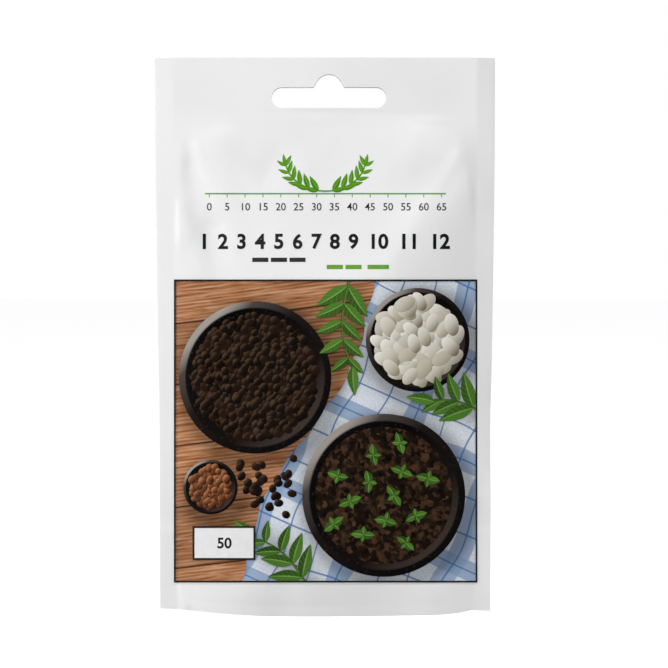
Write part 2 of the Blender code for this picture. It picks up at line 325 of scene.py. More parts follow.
def cut(s, z):
    """How far the film's points are raised near the rim, by its cut."""
    start = np.where(s < 0, CUT_START_LEFT, CUT_START_RIGHT) * INNER
    return CUT_LIFT * smooth((np.abs(s) - start) / (INNER - start)) * (1 - smooth(z / CUT_FADE))


print("rim raised at the side seals, mm:", round(float(cut(WIDTH / 2, 0)) / MM, 2))

# %% [markdown]
# ## Small tools
# Two habits keep work with operators safe: an operator acts on everything selected, so all is deselected
# before a new piece starts, and a finished piece has its modifiers applied, so that what is seen is its
# mesh. Points are read and written all at once, because a formula for thousands of them is quick that way.

# %% Define the small tools
def select_only(piece):
    bpy.ops.object.select_all(action="DESELECT")
    piece.select_set(True)
    bpy.context.view_layer.objects.active = piece


def read_points(piece):
    points = np.empty(len(piece.data.vertices) * 3)
    piece.data.vertices.foreach_get("co", points)
    return points.reshape(-1, 3)


def write_points(piece, points):
    piece.data.vertices.foreach_set("co", np.ascontiguousarray(points, dtype=np.float32).ravel())
    piece.data.update()


def apply_modifiers(piece):
    select_only(piece)
    for modifier in list(piece.modifiers):
        bpy.ops.object.modifier_apply(modifier=modifier.name)


def recalculate_normals(piece):
    select_only(piece)
    bpy.ops.object.mode_set(mode="EDIT")
    bpy.ops.mesh.select_all(action="SELECT")
    bpy.ops.mesh.normals_make_consistent(inside=False)
    bpy.ops.object.mode_set(mode="OBJECT")


def count_faces(piece):
    return f"{piece.name}: {len(piece.data.polygons)} faces"


print("tools ready")

# %% [markdown]
# ## The hang slot
# The header is punched with a euro slot: a bar with round ends and a small dome in the middle, which fits
# the round and the flat hooks of shop displays. It could be cut into the grid of each film, but a real punch
# goes through both at once, and so does this one: its outline is drawn as a flat curve, thickened, and later
# taken out of the films. The films had slipped a little under the punch, so the rear one's slot sits lower,
# and a thin strip of the rear film's grey lining shows along the slot's upper edges as a dark line that
# stands in for shade there.

# %% Draw the slot's outline
SLOT_WIDTH = 32 * MM
SLOT_BAR = 5.8 * MM
SLOT_LOW = 141.0 * MM
DOME_RADIUS = 3.8 * MM
DOME_RISE = 3.57 * MM
DOME_FLANK = 30                          # below this angle its flanks run straight, in degrees
END_STEPS = 24
DOME_STEPS = 16


def arc(centre, radius, start, end, steps):
    """Points on an arc in X and Z, from one angle to another, in degrees."""
    angles = [math.radians(start + (end - start) * i / steps) for i in range(steps + 1)]
    return [(centre[0] + radius * math.cos(a), centre[1] + radius * math.sin(a)) for a in angles]


def slot_outline():
    """Points around the slot: up the right side to the top of the dome, and down the left side."""
    end = SLOT_BAR / 2
    top = SLOT_LOW + SLOT_BAR
    dome = top + DOME_RISE - DOME_RADIUS
    flank = math.radians(DOME_FLANK)
    foot = DOME_RADIUS / math.cos(flank) + (dome - top) * math.tan(flank)
    half = arc((SLOT_WIDTH / 2 - end, SLOT_LOW + end), end, -90, 90, END_STEPS) + [(foot, top)]
    half += arc((0, dome), DOME_RADIUS, DOME_FLANK, 90, DOME_STEPS)
    return half + [(-x, z) for x, z in reversed(half[:-1])]


print("slot, mm:", SLOT_WIDTH / MM, "by", round((SLOT_BAR + DOME_RISE) / MM, 1))

# %% Make the punches
SLOT_SHIFT = 1.2 * MM                    # the slot's middle is this far to the right of the packet's
PUNCH_REACH = 6 * MM
# The rear slot's drop shows the grey lining as a thin dark line at the slot's upper edges: it stands in for
# shade.
REAR_DROP = 0.25 * MM
MERGE = 0.01 * MM


def make_punch(name, drop):
    outline = slot_outline()
    curve = bpy.data.curves.new(name, "CURVE")
    curve.dimensions = "2D"
    curve.fill_mode = "BOTH"
    curve.extrude = PUNCH_REACH
    line = curve.splines.new("POLY")
    line.points.add(len(outline) - 1)
    for point, (x, z) in zip(line.points, outline):
        point.co = (x + SLOT_SHIFT, z - drop, 0, 1)
    line.use_cyclic_u = True
    punch = bpy.data.objects.new(name, curve)
    bpy.context.scene.collection.objects.link(punch)
    punch.rotation_euler = (math.pi / 2, 0, 0)
    select_only(punch)
    bpy.ops.object.convert(target="MESH")
    bpy.ops.object.transform_apply(location=False, rotation=True, scale=False)
    bpy.ops.object.mode_set(mode="EDIT")
    bpy.ops.mesh.select_all(action="SELECT")
    bpy.ops.mesh.remove_doubles(threshold=MERGE)
    bpy.ops.mesh.normals_make_consistent(inside=False)
    bpy.ops.object.mode_set(mode="OBJECT")
    return punch


front_punch = make_punch("front_punch", 0)
rear_punch = make_punch("rear_punch", REAR_DROP)
print(count_faces(front_punch))

# %% [markdown]
# ## The two faces
# A face starts as a flat grid as big as the film before it was filled. Its points then move to where the
# formula and the folds put them, Solidify gives it a wall, and the punch is taken out of its header. A few
# curved patches would need fewer faces, but folds a millimetre wide need points closer than that. The grid's
# spacing divides the seals and the header evenly, so their edges fall on its lines and stay crisp.

# %% Make the two faces
COLUMN = 0.625 * MM
ROW = 0.62 * MM


def make_film(name, columns, rows, place):
    """A grid whose points are moved by place(s, row share)."""
    bpy.ops.object.select_all(action="DESELECT")
    bpy.ops.mesh.primitive_grid_add(x_subdivisions=columns, y_subdivisions=rows, size=1)
    film = bpy.context.object
    film.name = name
    film.data.name = name
    flat = read_points(film)
    write_points(film, place(flat[:, 0] * WIDTH, flat[:, 1] + 0.5))
    recalculate_normals(film)
    return film


def give_wall(film):
    """A wall with the film's material outside, its lining inside and its cut edge around."""
    wall = film.modifiers.new("wall", "SOLIDIFY")
    wall.thickness = FILM
    wall.offset = 0
    wall.use_even_offset = True
    wall.material_offset = 1
    wall.material_offset_rim = 2


def make_face(name, side, folds, punch):
    def place(s, share):
        z = share * HEIGHT
        y = side * stand(s, z, folds) + lean(s, z)
        return np.stack((across(s, z), y, z + cut(s, z)), axis=1)

    face = make_film(name, round(WIDTH / COLUMN), round(HEIGHT / ROW), place)
    if face.data.polygons[0].normal.y * side < 0:
        face.data.flip_normals()
    give_wall(face)
    slot = face.modifiers.new("slot", "BOOLEAN")
    slot.operation = "DIFFERENCE"
    slot.solver = "MANIFOLD"
    slot.object = punch
    return face


front_skin = make_face("front_skin", -1, FRONT_FOLDS, front_punch)
back_skin = make_face("back_skin", 1, BACK_FOLDS, rear_punch)
for face in (front_skin, back_skin):
    print(count_faces(face), "before its wall")

# %% [markdown]
# ## The gusset
# The gusset is one film folded upwards between the faces. Near the rim its two legs are sealed to them, and
# above that it arches from one to the other, highest at the side seals, which hold its fold. From below it
# is the hollow that the packet stands around. It could be bridged between the two rims, but its legs have to
# follow the folds of the faces, so it too is a grid, placed from the same formulas.

# %% Make the gusset
GUSSET_HEIGHT = 22 * MM
GUSSET_SAG = 4.5 * MM                    # how much lower its fold is in the middle
BASE_SEAL = 4 * MM
SEAL_CURVE_POWER = 7                     # how late the seal's upper edge turns up towards the sides
GUSSET_SEAL_STEPS = 10
GUSSET_ARCH_STEPS = 34


def fold_height(s):
    u = np.clip(np.abs(s) / INNER, 0, 1)
    return GUSSET_HEIGHT - GUSSET_SAG * (1 - u * u)


def leg_height(s):
    """Height up to which a gusset leg is sealed to its face."""
    u = np.clip(np.abs(s) / INNER, 0, 1)
    return BASE_SEAL + (fold_height(s) - SEALED - BASE_SEAL) * u**SEAL_CURVE_POWER


def place_gusset(s, share):
    rows = GUSSET_SEAL_STEPS + GUSSET_ARCH_STEPS
    row = (2 * share - 1) * rows
    side = np.sign(row)
    in_seal = np.clip(np.abs(row) - GUSSET_ARCH_STEPS, 0, None) / GUSSET_SEAL_STEPS
    turn = np.clip(np.abs(row) / GUSSET_ARCH_STEPS, 0, 1) * math.pi / 2
    sealed_to = leg_height(s)
    z_seal = sealed_to * (1 - in_seal)
    z = np.where(in_seal > 0, z_seal, sealed_to + (fold_height(s) - sealed_to) * np.cos(turn))
    z_foot = np.where(in_seal > 0, z_seal, sealed_to)
    in_front = stand(s, z_foot, FRONT_FOLDS)
    behind = stand(s, z_foot, BACK_FOLDS)
    foot = np.where(row < 0, in_front, behind) - FILM - GAP
    y = side * foot * np.sin(turn) + lean(s, z)
    return np.stack((across(s, z), y, z + cut(s, z)), axis=1)


gusset_rows = 2 * (GUSSET_SEAL_STEPS + GUSSET_ARCH_STEPS)
gusset_skin = make_film("gusset_skin", round(WIDTH / COLUMN), gusset_rows, place_gusset)
if gusset_skin.data.polygons[len(gusset_skin.data.polygons) // 2].normal.z > 0:
    gusset_skin.data.flip_normals()
give_wall(gusset_skin)
print(count_faces(gusset_skin), "before its wall")

# %% [markdown]
# ## Nodes and colours
# A material is a tree of nodes that ends in a shader. Nodes can be dragged about in the editor, but written
# down they can be read, and come out the same each time. Colours are sRGB hex values, the way a paint chart
# gives them, and one function turns them to the linear values that a shader works in. Another feeds a node:
# an input that is given a node or one of its outputs is linked, and any other is set. The third adds a node
# with its settings, its inputs and, for a colour ramp, its stops. A Mix node of colours has its share in
# input 0 and its two colours in 6 and 7.

# %% Turn colours to linear values
def linear(hex_colour):
    """An sRGB colour such as #7a3f24, as linear red, green, blue and alpha."""
    channels = [int(hex_colour[i:i + 2], 16) / 255 for i in (1, 3, 5)]
    return tuple(c / 12.92 if c <= 0.04045 else ((c + 0.055) / 1.055) ** 2.4 for c in channels) + (1,)


print("mid grey in linear values:", [round(value, 3) for value in linear("#808080")])

# %% Feed and add nodes
def feed(tree, node, inputs):
    """Link or set a node's inputs."""
    for name, value in inputs.items():
        if isinstance(value, bpy.types.Node):
            value = next(socket for socket in value.outputs if socket.enabled)
        if isinstance(value, bpy.types.NodeSocket):
            tree.links.new(value, node.inputs[name])
        else:
            node.inputs[name].default_value = value


def add_node(tree, kind, inputs, stops=(), **settings):
    """Add a node with its settings and inputs, and a colour ramp with its stops of (place, colour)."""
    node = tree.nodes.new("ShaderNode" + kind)
    for name, value in settings.items():
        setattr(node, name, value)
    feed(tree, node, inputs)
    if stops:
        elements = node.color_ramp.elements
        while len(elements) < len(stops):
            elements.new(0.5)
        for element, (place, colour) in zip(elements, stops):
            element.position = place
            element.color = linear(colour)
    return node


def start_material(name):
    material = bpy.data.materials.new(name)
    material.use_nodes = True
    return material, material.node_tree, material.node_tree.nodes["Principled BSDF"]


def object_point(tree, scale=(1, 1, 1)):
    """Object coordinates in millimetres, then scaled."""
    place = add_node(tree, "TexCoord", {}).outputs["Object"]
    factors = tuple(factor / MM for factor in scale)
    return add_node(tree, "Mapping", {"Vector": place, "Scale": factors}, vector_type="POINT")


print("node tools ready")

# %% [markdown]
# ## White laminated film
# The film is polypropylene laminated to polyethylene: white ink lies between the layers, under a satin outer
# skin. Rolling and heat give it a faint orange peel, and handling gives it dents a few millimetres wide.
# They are shallower than the film is thick, so they come from bump nodes and not from the mesh. Print uses
# the same skin, because ink lies under it, so one function gives both their gloss and bump.

# %% Make the outer skin
SKIN_IOR = 1.49                          # polypropylene
SKIN_ROUGHNESS = 0.40                    # satin: it glows softly where it faces a lamp, and mirrors nothing
PEEL_DEPTH = 0.03 * MM
DENT_DEPTH = 0.35 * MM


def satin_skin(tree, shader, specular):
    """The outer skin of the laminate, over any ink."""
    point = object_point(tree)
    # Peel is drawn 0.9 mm across, where the real one is nearer 0.3 mm and would not show.
    peel = add_node(tree, "TexNoise", {"Vector": point, "Scale": 1.1, "Detail": 2.0})
    # Dents are about 8 mm across, as fingertips leave them, and a little rougher than what lies between.
    dents = add_node(tree, "TexNoise", {"Vector": point, "Scale": 0.12, "Detail": 3.0, "Roughness": 0.45})
    levels = {0: dents, 1: 0.3, 2: 0.7, 3: SKIN_ROUGHNESS - 0.04, 4: SKIN_ROUGHNESS + 0.05}
    rough = add_node(tree, "MapRange", levels, interpolation_type="SMOOTHSTEP")
    fine = add_node(tree, "Bump", {"Height": peel, "Strength": 0.25, "Distance": PEEL_DEPTH})
    soft = add_node(tree, "Bump", {"Height": dents, "Strength": 0.5, "Distance": DENT_DEPTH, "Normal": fine})
    feed(tree, shader, {"IOR": SKIN_IOR, "Specular IOR Level": specular, "Roughness": rough, "Normal": soft})


print("dents up to, mm:", DENT_DEPTH / MM)

# %% [markdown]
# ## The film's three finishes
# A film is white outside, foil grey inside and grey at its cut edges, where the foil between the layers
# shows. That grey also stands in for the thin dark line of shade along the slot's upper edges, so it is in
# part painted shade. One material with masks could hold all three, but Solidify can give a wall's outer
# side, inner side and edge a material each, and the boundaries then lie exactly on the mesh. The noises keep
# the colours from being flat.

# %% Make the film materials
SHARP = math.radians(40)                 # edges that turn more than this stay sharp
FILM_SPECULAR = 0.42


def make_white_film():
    """White ink under satin polypropylene: a bright, slightly uneven white."""
    material, tree, shader = start_material("white_laminated_polypropylene")
    satin_skin(tree, shader, FILM_SPECULAR)
    # The ink layer is uneven over about 20 mm, as rollers leave it.
    cloudy = add_node(tree, "TexNoise", {"Vector": object_point(tree), "Scale": 0.05, "Detail": 2.0})
    white = add_node(tree, "ValToRGB", {"Fac": cloudy}, [(0.3, "#eeeeee"), (0.7, "#f2f2f2")])
    feed(tree, shader, {"Base Color": white})
    return material


def make_foil_lining():
    """The packet's inner side: vapour-coated aluminium under polyethylene, dull and grey."""
    material, tree, shader = start_material("aluminium_coated_lining")
    # Rolling marks run across the film, about 1.2 mm long and a sixth of that high.
    grain = add_node(tree, "TexNoise", {"Vector": object_point(tree, (1, 1, 6)), "Scale": 0.8})
    grey = add_node(tree, "ValToRGB", {"Fac": grain}, [(0.3, "#8f9193"), (0.7, "#a9abad")])
    feed(tree, shader, {"Base Color": grey, "Metallic": 0.9, "Roughness": 0.45})
    return material


def make_cut_edge():
    """The punched or slit edge, a little rough, grey with its foil and as painted shade for thin dark edge
    lines.
    """
    material, tree, shader = start_material("cut_laminate_edge")
    # Burrs from the blade, about 0.3 mm long.
    grain = add_node(tree, "TexNoise", {"Vector": object_point(tree), "Scale": 3.0})
    # The grey stands in part for the thin dark line of shade along the slot's upper edges: painted shade.
    grey = add_node(tree, "ValToRGB", {"Fac": grain}, [(0.3, "#a3a3a3"), (0.7, "#bdbdbd")])
    feed(tree, shader, {"Base Color": grey, "Roughness": 0.6})
    return material


film_materials = [make_white_film(), make_foil_lining(), make_cut_edge()]
for skin in (front_skin, back_skin, gusset_skin):
    for material in film_materials:
        skin.data.materials.append(material)
    apply_modifiers(skin)
    bpy.ops.object.shade_smooth_by_angle(angle=SHARP)
    print(count_faces(skin))
for punch in (front_punch, rear_punch):
    bpy.data.objects.remove(punch)

# %% [markdown]
# ## Handing the films over
# Each film stands for one solid of the model. It rides on the packet's only body and hides the solid. The
# solid stays in the model for the physics, which needs its plainer shape.

# %% Hand the films over
for skin, node, slot in (
    (front_skin, "front_film", "front_film"),
    (back_skin, "back_film", "back_film"),
    (gusset_skin, "bottom_gusset", "bottom_gusset"),
):
    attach(skin, "root")
    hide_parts(node)
    print(skin.name, "stands for", node)

# %% [markdown]
# ## How the print is laid
# Print could be one material on the film, but its edges would be only as sharp as the formulas behind them.
# Here each printed thing is a very thin sheet just in front of the film, so its edge is crisp from any
# distance, and it has a material of its own. The layout is drawn on a flat plane that faces the camera, and
# then thrown onto the bowed film along lines to the camera, so a straight frame still looks straight, as it
# does in the photo. Sheets that cross lie in layers.

# %% Find the film behind the layout
PANEL = (-42.2 * MM, 8.1 * MM, 42.7 * MM, 92.9 * MM)     # the picture: left, bottom, right, top
LAYOUT_MIDDLE = (2.59 * MM, 77.64 * MM)  # the layout's x and z in the middle of the camera's view
PASSES = 5                               # the film bends, so the meeting point is found step by step


def onto_film(x, z, lift):
    """Where lines from the camera through x and z of the layout meet the front face, lift above it."""
    rightwards = np.array(away.cross(Vector((0, 0, 1))).normalized()) * -1
    upwards = np.cross(np.array(away), rightwards)
    layout = np.array(AIM) + np.outer(x - LAYOUT_MIDDLE[0], rightwards)
    layout = layout + np.outer(z - LAYOUT_MIDDLE[1], upwards)
    to_camera = np.array(EYE) - layout
    reach = np.zeros_like(x)
    for _ in range(PASSES):
        share = (-reach - layout[:, 1]) / to_camera[:, 1]
        film = layout + to_camera * share[:, None]
        s = along_film(film[:, 0], film[:, 2])
        reach = stand(s, film[:, 2], FRONT_FOLDS) - lean(s, film[:, 2]) + FILM / 2 + lift
    return film


print("picture, mm:", [round(edge / MM, 1) for edge in PANEL])

# %% [markdown]
# ## Sheets of print
# Each printed thing starts as a grid, the way a shape cut from paper starts as a sheet. A sheet keeps one
# attribute, "place", that its material reads: where a point is on the thing, with the thing's own tone or
# shade between. Object coordinates would do for the planks, but not for a seed that lies at any angle.

# %% Start, shape and join sheets
def start_sheet(columns, rows):
    """A grid whose sides run from -1 to 1, with its points along both of them."""
    bpy.ops.object.select_all(action="DESELECT")
    bpy.ops.mesh.primitive_grid_add(x_subdivisions=columns, y_subdivisions=rows, size=2)
    points = read_points(bpy.context.object)
    return bpy.context.object, points[:, 0], points[:, 1]


def strip(a, b):
    """A grid kept as it is, for stems and straight lines."""
    return a, b


def disc(a, b):
    """A square grid rounded into a disc."""
    return a * np.sqrt(1 - b * b / 2), b * np.sqrt(1 - a * a / 2)


def lay_flat(sheet, x, z, place, step=0.0):
    """Put a sheet's points at x and z of the layout, step above its layer, and keep its place."""
    write_points(sheet, np.stack((x, np.full_like(x, step), z), axis=1))
    kept = sheet.data.attributes.new("place", "FLOAT_VECTOR", "POINT")
    kept.data.foreach_set("vector", np.stack(place, axis=1).astype(np.float32).ravel())
    if sheet.data.polygons[0].normal.y > 0:
        sheet.data.flip_normals()
    return sheet


def join(sheets):
    bpy.ops.object.select_all(action="DESELECT")
    for sheet in sheets:
        sheet.select_set(True)
    bpy.context.view_layer.objects.active = sheets[0]
    if len(sheets) > 1:
        bpy.ops.object.join()
    return sheets[0]


print("sheet tools ready")

# %% Print a sheet on the film
INK = 0.01 * MM                          # ink is thinner still, but a sheet is a closed solid
# How far each kind of print lies in front of the film, in millimetres: what crosses another lies higher.
LIFT = {
    "lines": 0.04, "shapes": 0.05, "numbers": 0.06,
    "planks": 0.06, "cloth": 0.12, "bowls": 0.17, "fillings": 0.20,
    "seedlings": 0.23, "stems": 0.25, "leaves": 0.27, "label": 0.34, "frames": 0.36,
}


def print_on_film(name, sheet, layer, material):
    """Throw a flat sheet onto the film, close it and hand it over."""
    sheet.name = name
    sheet.data.name = name
    points = read_points(sheet)
    write_points(sheet, onto_film(points[:, 0], points[:, 2], LIFT[layer] * MM + points[:, 1]))
    wall = sheet.modifiers.new("wall", "SOLIDIFY")
    wall.thickness = INK
    wall.offset = -1
    apply_modifiers(sheet)
    sheet.data.materials.clear()
    sheet.data.materials.append(material)
    bpy.ops.object.shade_smooth_by_angle(angle=SHARP)
    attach(sheet, "root")
    print(count_faces(sheet))


print(len(LIFT), "kinds of print, up to", max(LIFT.values()), "mm in front of the film")

# %% [markdown]
# ## Copies of a sheet
# Seeds, beans and leaves repeat dozens of times. Instances would be the lightest way, but each copy has to
# follow the film where it lies, so each gets its own mesh, and all copies of a kind are joined to one piece.
# Neighbours overlap, so each copy also lies on its own level, a few thousandths of a millimetre apart.

# %% Copy a sheet to many spots
LEVELS = 24
LEVEL_STRIDE = 7                         # from one copy's level to the next one's, round and round
LEVEL_GAP = 0.002                        # between two levels, in millimetres


def copies(columns, rows, shape, spots, own=False, gap=LEVEL_GAP):
    """Copies of one small sheet at spots of x, z, length, width, turn and tone, in mm and degrees.

    shape turns the grid into the thing's outline. With own, the place is on the thing itself; otherwise it
    is from the thing's middle in the layout, so that the light on all copies comes from one side.
    """
    model, a, b = start_sheet(columns, rows)
    long, wide = shape(a, b)
    made = []
    for i, (x, z, length, width, turn, tone) in enumerate(spots):
        copy = model.copy()
        copy.data = model.data.copy()
        bpy.context.scene.collection.objects.link(copy)
        c, s = math.cos(math.radians(turn)), math.sin(math.radians(turn))
        dx = (long * length * c - wide * width * s) / 2
        dz = (long * length * s + wide * width * c) / 2
        size = max(abs(length), abs(width)) / 2
        place = (a, np.full_like(a, tone), b) if own else (dx / size, np.full_like(a, tone), dz / size)
        step = (i * LEVEL_STRIDE % LEVELS) * gap * MM
        made.append(lay_flat(copy, (x + dx) * MM, (z + dz) * MM, place, step))
    bpy.data.objects.remove(model)
    return join(made)


print("copies lie within, mm:", round((LEVELS - 1) * LEVEL_GAP, 3))

# %% [markdown]
# ## Things in the picture
# The picture is a still life seen from above: stoneware bowls of seeds, beans and seedlings on planks and a
# checked cloth, with sprigs of leaves. It could be modelled in depth, lit and looked at, but in print it is
# flat, so its light is painted: it comes from the upper left, and every thing has a soft shadow to its lower
# right. The shadows need the places of all things, so these come first.

# %% Place the things in the picture
# x, z and radius of each bowl, millimetres
SEED_BOWL = (-19.5, 65.5, 21.3)
BEAN_BOWL = (26.0, 76.0, 14.5)
SOIL_BOWL = (16.5, 32.5, 22.8)
SMALL_BOWL = (-32.0, 34.8, 7.6)
BOWLS = (SEED_BOWL, BEAN_BOWL, SOIL_BOWL, SMALL_BOWL)
# base x and z, turn in degrees, length and number of pairs of leaves of each sprig
SPRIGS = (
    (7.0, 93.5, -104.0, 25.0, 5),
    (-5.0, 7.5, 122.0, 19.0, 4),
    (43.5, 56.0, 152.0, 13.0, 3),
)
SPRIG_BEND = 16                          # how much a stem turns on its way, in degrees
STEPS_PER_PAIR = 4                       # points of a stem for each pair of leaves


def sprig_points(sprig):
    """Points along a sprig's stem, with the stem's direction there."""
    x, z, turn, length, pairs = sprig
    for i in range(STEPS_PER_PAIR * pairs + 1):
        share = i / (STEPS_PER_PAIR * pairs)
        angle = math.radians(turn + SPRIG_BEND * share * share)
        yield x + length * share * math.cos(angle), z + length * share * math.sin(angle), angle, share


print(len(BOWLS), "bowls,", len(SPRIGS), "sprigs")

# %% Work out the shadows
BOWL_SHADOW = 0.55                       # the share of the light that a bowl takes
BOWL_SHADOW_SHIFT = (1.5, -1.9)
BOWL_SHADOW_REACH = 3.2                  # how far a shadow fades out, millimetres
SPRIG_SHADOW = 0.10                      # of each of a stem's points, which overlap
SPRIG_SHADOW_SHIFT = (1.0, -1.4)
SPRIG_SHADOW_REACH = 4.0


def shade_at(x, z):
    """How much light is left on the planks and the cloth: 1 is all of it."""
    x, z = x / MM, z / MM
    shade = np.ones_like(x)
    for bowl_x, bowl_z, radius in BOWLS:
        middle_x, middle_z = bowl_x + BOWL_SHADOW_SHIFT[0], bowl_z + BOWL_SHADOW_SHIFT[1]
        outside = np.maximum(np.hypot(x - middle_x, z - middle_z) - radius, 0)
        shade *= 1 - BOWL_SHADOW * np.exp(-((outside / BOWL_SHADOW_REACH) ** 2))
    for sprig in SPRIGS:
        for stem_x, stem_z, _, _ in sprig_points(sprig):
            middle_x, middle_z = stem_x + SPRIG_SHADOW_SHIFT[0], stem_z + SPRIG_SHADOW_SHIFT[1]
            distance = np.hypot(x - middle_x, z - middle_z)
            shade *= 1 - SPRIG_SHADOW * np.exp(-((distance / SPRIG_SHADOW_REACH) ** 2))
    return shade


middles = np.array([bowl[:2] for bowl in BOWLS]) * MM
print("light left under the bowls:", shade_at(middles[:, 0], middles[:, 1]).round(2))

# %% [markdown]
# ## Ink under the skin
# On the packet all colours are ink under the same satin skin. In the photo the dark print shows almost no
# gloss, so a print's specular level is far lower than the white film's. What the materials of the picture
# have in common comes first: reading a thing's place, the painted light, stripes, and dimming a colour by a
# shade.

# %% Define what the prints share
PRINT_SPECULAR = 0.02
LIGHT_SLOPE = 0.36


def start_print(name, specular=PRINT_SPECULAR):
    material, tree, shader = start_material(name)
    satin_skin(tree, shader, specular)
    return material, tree, shader


def read_place(tree):
    """A printed thing's place, and its three parts: along, tone or shade, and across."""
    place = add_node(tree, "Attribute", {}, attribute_name="place").outputs["Vector"]
    return place, add_node(tree, "SeparateXYZ", {0: place}).outputs


def lit(tree, parts):
    """Light on a round thing from the upper left: 0 in its shade, 1 where it is brightest."""
    towards = add_node(tree, "Math", {0: parts[2], 1: parts[0]}, operation="SUBTRACT")
    return add_node(tree, "Math", {0: towards, 1: LIGHT_SLOPE, 2: 0.5}, operation="MULTIPLY_ADD")


def stripes(tree, value, period, width, soft):
    """1 on stripes of a width, every period, with soft edges."""
    off = add_node(tree, "Math", {0: value, 1: period / 2}, operation="PINGPONG")
    edges = {0: off, 1: width / 2 + soft, 2: width / 2 - soft}
    return add_node(tree, "MapRange", edges, interpolation_type="SMOOTHSTEP")


def dim(tree, colour, light):
    """A colour times the light that is left."""
    grey = add_node(tree, "CombineXYZ", {0: light, 1: light, 2: light})
    return add_node(tree, "Mix", {0: 1.0, 6: colour, 7: grey}, data_type="RGBA", blend_type="MULTIPLY")


print("print tools ready")

# %% [markdown]
# ## Planks
# Planks of orange-brown pine fill the whole picture, 17 mm wide in print and a little askew. Each could be a
# sheet of its own, but one material can number the planks, and from its number each gets its own tone and
# its own piece of grain. Grain is noise stretched along the plank, twelve times as long as it is wide.

# %% Make the printed planks
PLANK = 17.0                             # width, millimetres
PLANK_TURN = math.radians(7)
PLANK_GAP = (0.45, 0.25)                 # width of the dark gap, and how soft its edges are
PLANK_TONES = (0.80, 1.12)               # light on the darkest and on the palest plank
GRAIN_SHIFT = 300.0                      # no plank starts at the same piece of grain as another
GRAIN_SHARE = 0.90
RING_SHARE = 0.12


def make_grain(tree, along):
    """Grain and rings, from the place along and across a plank."""
    stretched = add_node(tree, "Mapping", {"Vector": along, "Scale": (0.09, 1, 1.1)}, vector_type="POINT")
    grain = add_node(tree, "TexNoise", {
        "Vector": stretched, "Scale": 0.9, "Detail": 9.0, "Roughness": 0.62, "Distortion": 0.6,
    })
    rings = add_node(tree, "TexWave", {
        "Vector": stretched, "Scale": 0.28, "Distortion": 6.0, "Detail": 3.0, "Detail Scale": 0.5,
    }, bands_direction="Z").outputs["Fac"]
    share = add_node(tree, "Math", {0: grain, 1: GRAIN_SHARE}, operation="MULTIPLY")
    mixed = add_node(tree, "Math", {0: rings, 1: RING_SHARE, 2: share}, operation="MULTIPLY_ADD")
    return add_node(tree, "ValToRGB", {"Fac": mixed}, [
        (0.30, "#6f3f20"), (0.45, "#a46c45"), (0.58, "#c08d69"), (0.75, "#dab093"),
    ])


def make_planks():
    """Printed pine planks, orange-brown, with grain along them and dark gaps between."""
    material, tree, shader = start_print("printed_pine_planks")
    place, parts = read_place(tree)
    askew = {"Vector": place, "Rotation": (0, PLANK_TURN, 0)}
    turned = add_node(tree, "Mapping", askew, vector_type="POINT")
    sides = add_node(tree, "SeparateXYZ", {0: turned}).outputs
    widths = add_node(tree, "Math", {0: sides[2], 1: PLANK}, operation="DIVIDE")
    number = add_node(tree, "Math", {0: widths}, operation="FLOOR")
    chance = add_node(tree, "TexWhiteNoise", {"W": number}, noise_dimensions="1D").outputs["Value"]
    run = add_node(tree, "Math", {0: chance, 1: GRAIN_SHIFT, 2: sides[0]}, operation="MULTIPLY_ADD")
    wood = make_grain(tree, add_node(tree, "CombineXYZ", {0: run, 1: 0.0, 2: sides[2]}))
    gap = stripes(tree, sides[2], PLANK, *PLANK_GAP)
    with_gaps = add_node(tree, "Mix", {0: gap, 6: wood, 7: linear("#2b1a12")}, data_type="RGBA")
    levels = {0: chance, 1: 0.0, 2: 1.0, 3: PLANK_TONES[0], 4: PLANK_TONES[1]}
    tone = add_node(tree, "MapRange", levels, interpolation_type="SMOOTHSTEP")
    light = add_node(tree, "Math", {0: tone, 1: parts[1]}, operation="MULTIPLY")
    feed(tree, shader, {"Base Color": dim(tree, with_gaps, light)})
    return material


planks_print = make_planks()
print("planks across the picture:", round((PANEL[3] - PANEL[1]) / MM / PLANK, 1))

# %% Print the planks
def print_box(name, box, layer, material, step=1.0):
    """A printed rectangle: left, bottom, right, top in metres, and the grid's step in millimetres."""
    left, bottom, right, top = box
    columns = max(1, round((right - left) / (step * MM)))
    rows = max(1, round((top - bottom) / (step * MM)))
    sheet, a, b = start_sheet(columns, rows)
    x = left + smooth((a + 1) / 2) * (right - left)      # closer at the sides, where the film turns
    z = bottom + (b + 1) / 2 * (top - bottom)
    lay_flat(sheet, x, z, (x / MM, shade_at(x, z), z / MM))
    print_on_film(name, sheet, layer, material)


print_box("printed_planks", PANEL, "planks", planks_print, 0.7)

# %% [markdown]
# ## Cloth
# A pale cotton cloth lies over the right part of the planks, with a wavy hem, a few soft creases and a check
# of thin blue lines and broad pale bands that lies askew. A real cloth there would be draped by simulation.
# In print it is flat, so waves in two directions bend its check and light its creases.

# %% Make the printed cotton
# axis, period, width, strength and colour of the bands and the lines of the check, in millimetres
CHECK = (
    (0, 27.0, 6.0, 0.80, "#8fa9cc"),
    (2, 27.0, 6.0, 0.80, "#8fa9cc"),
    (0, 9.0, 0.45, 0.85, "#4f78b4"),
    (2, 9.0, 0.45, 0.85, "#4f78b4"),
)
CHECK_SOFT = 0.12


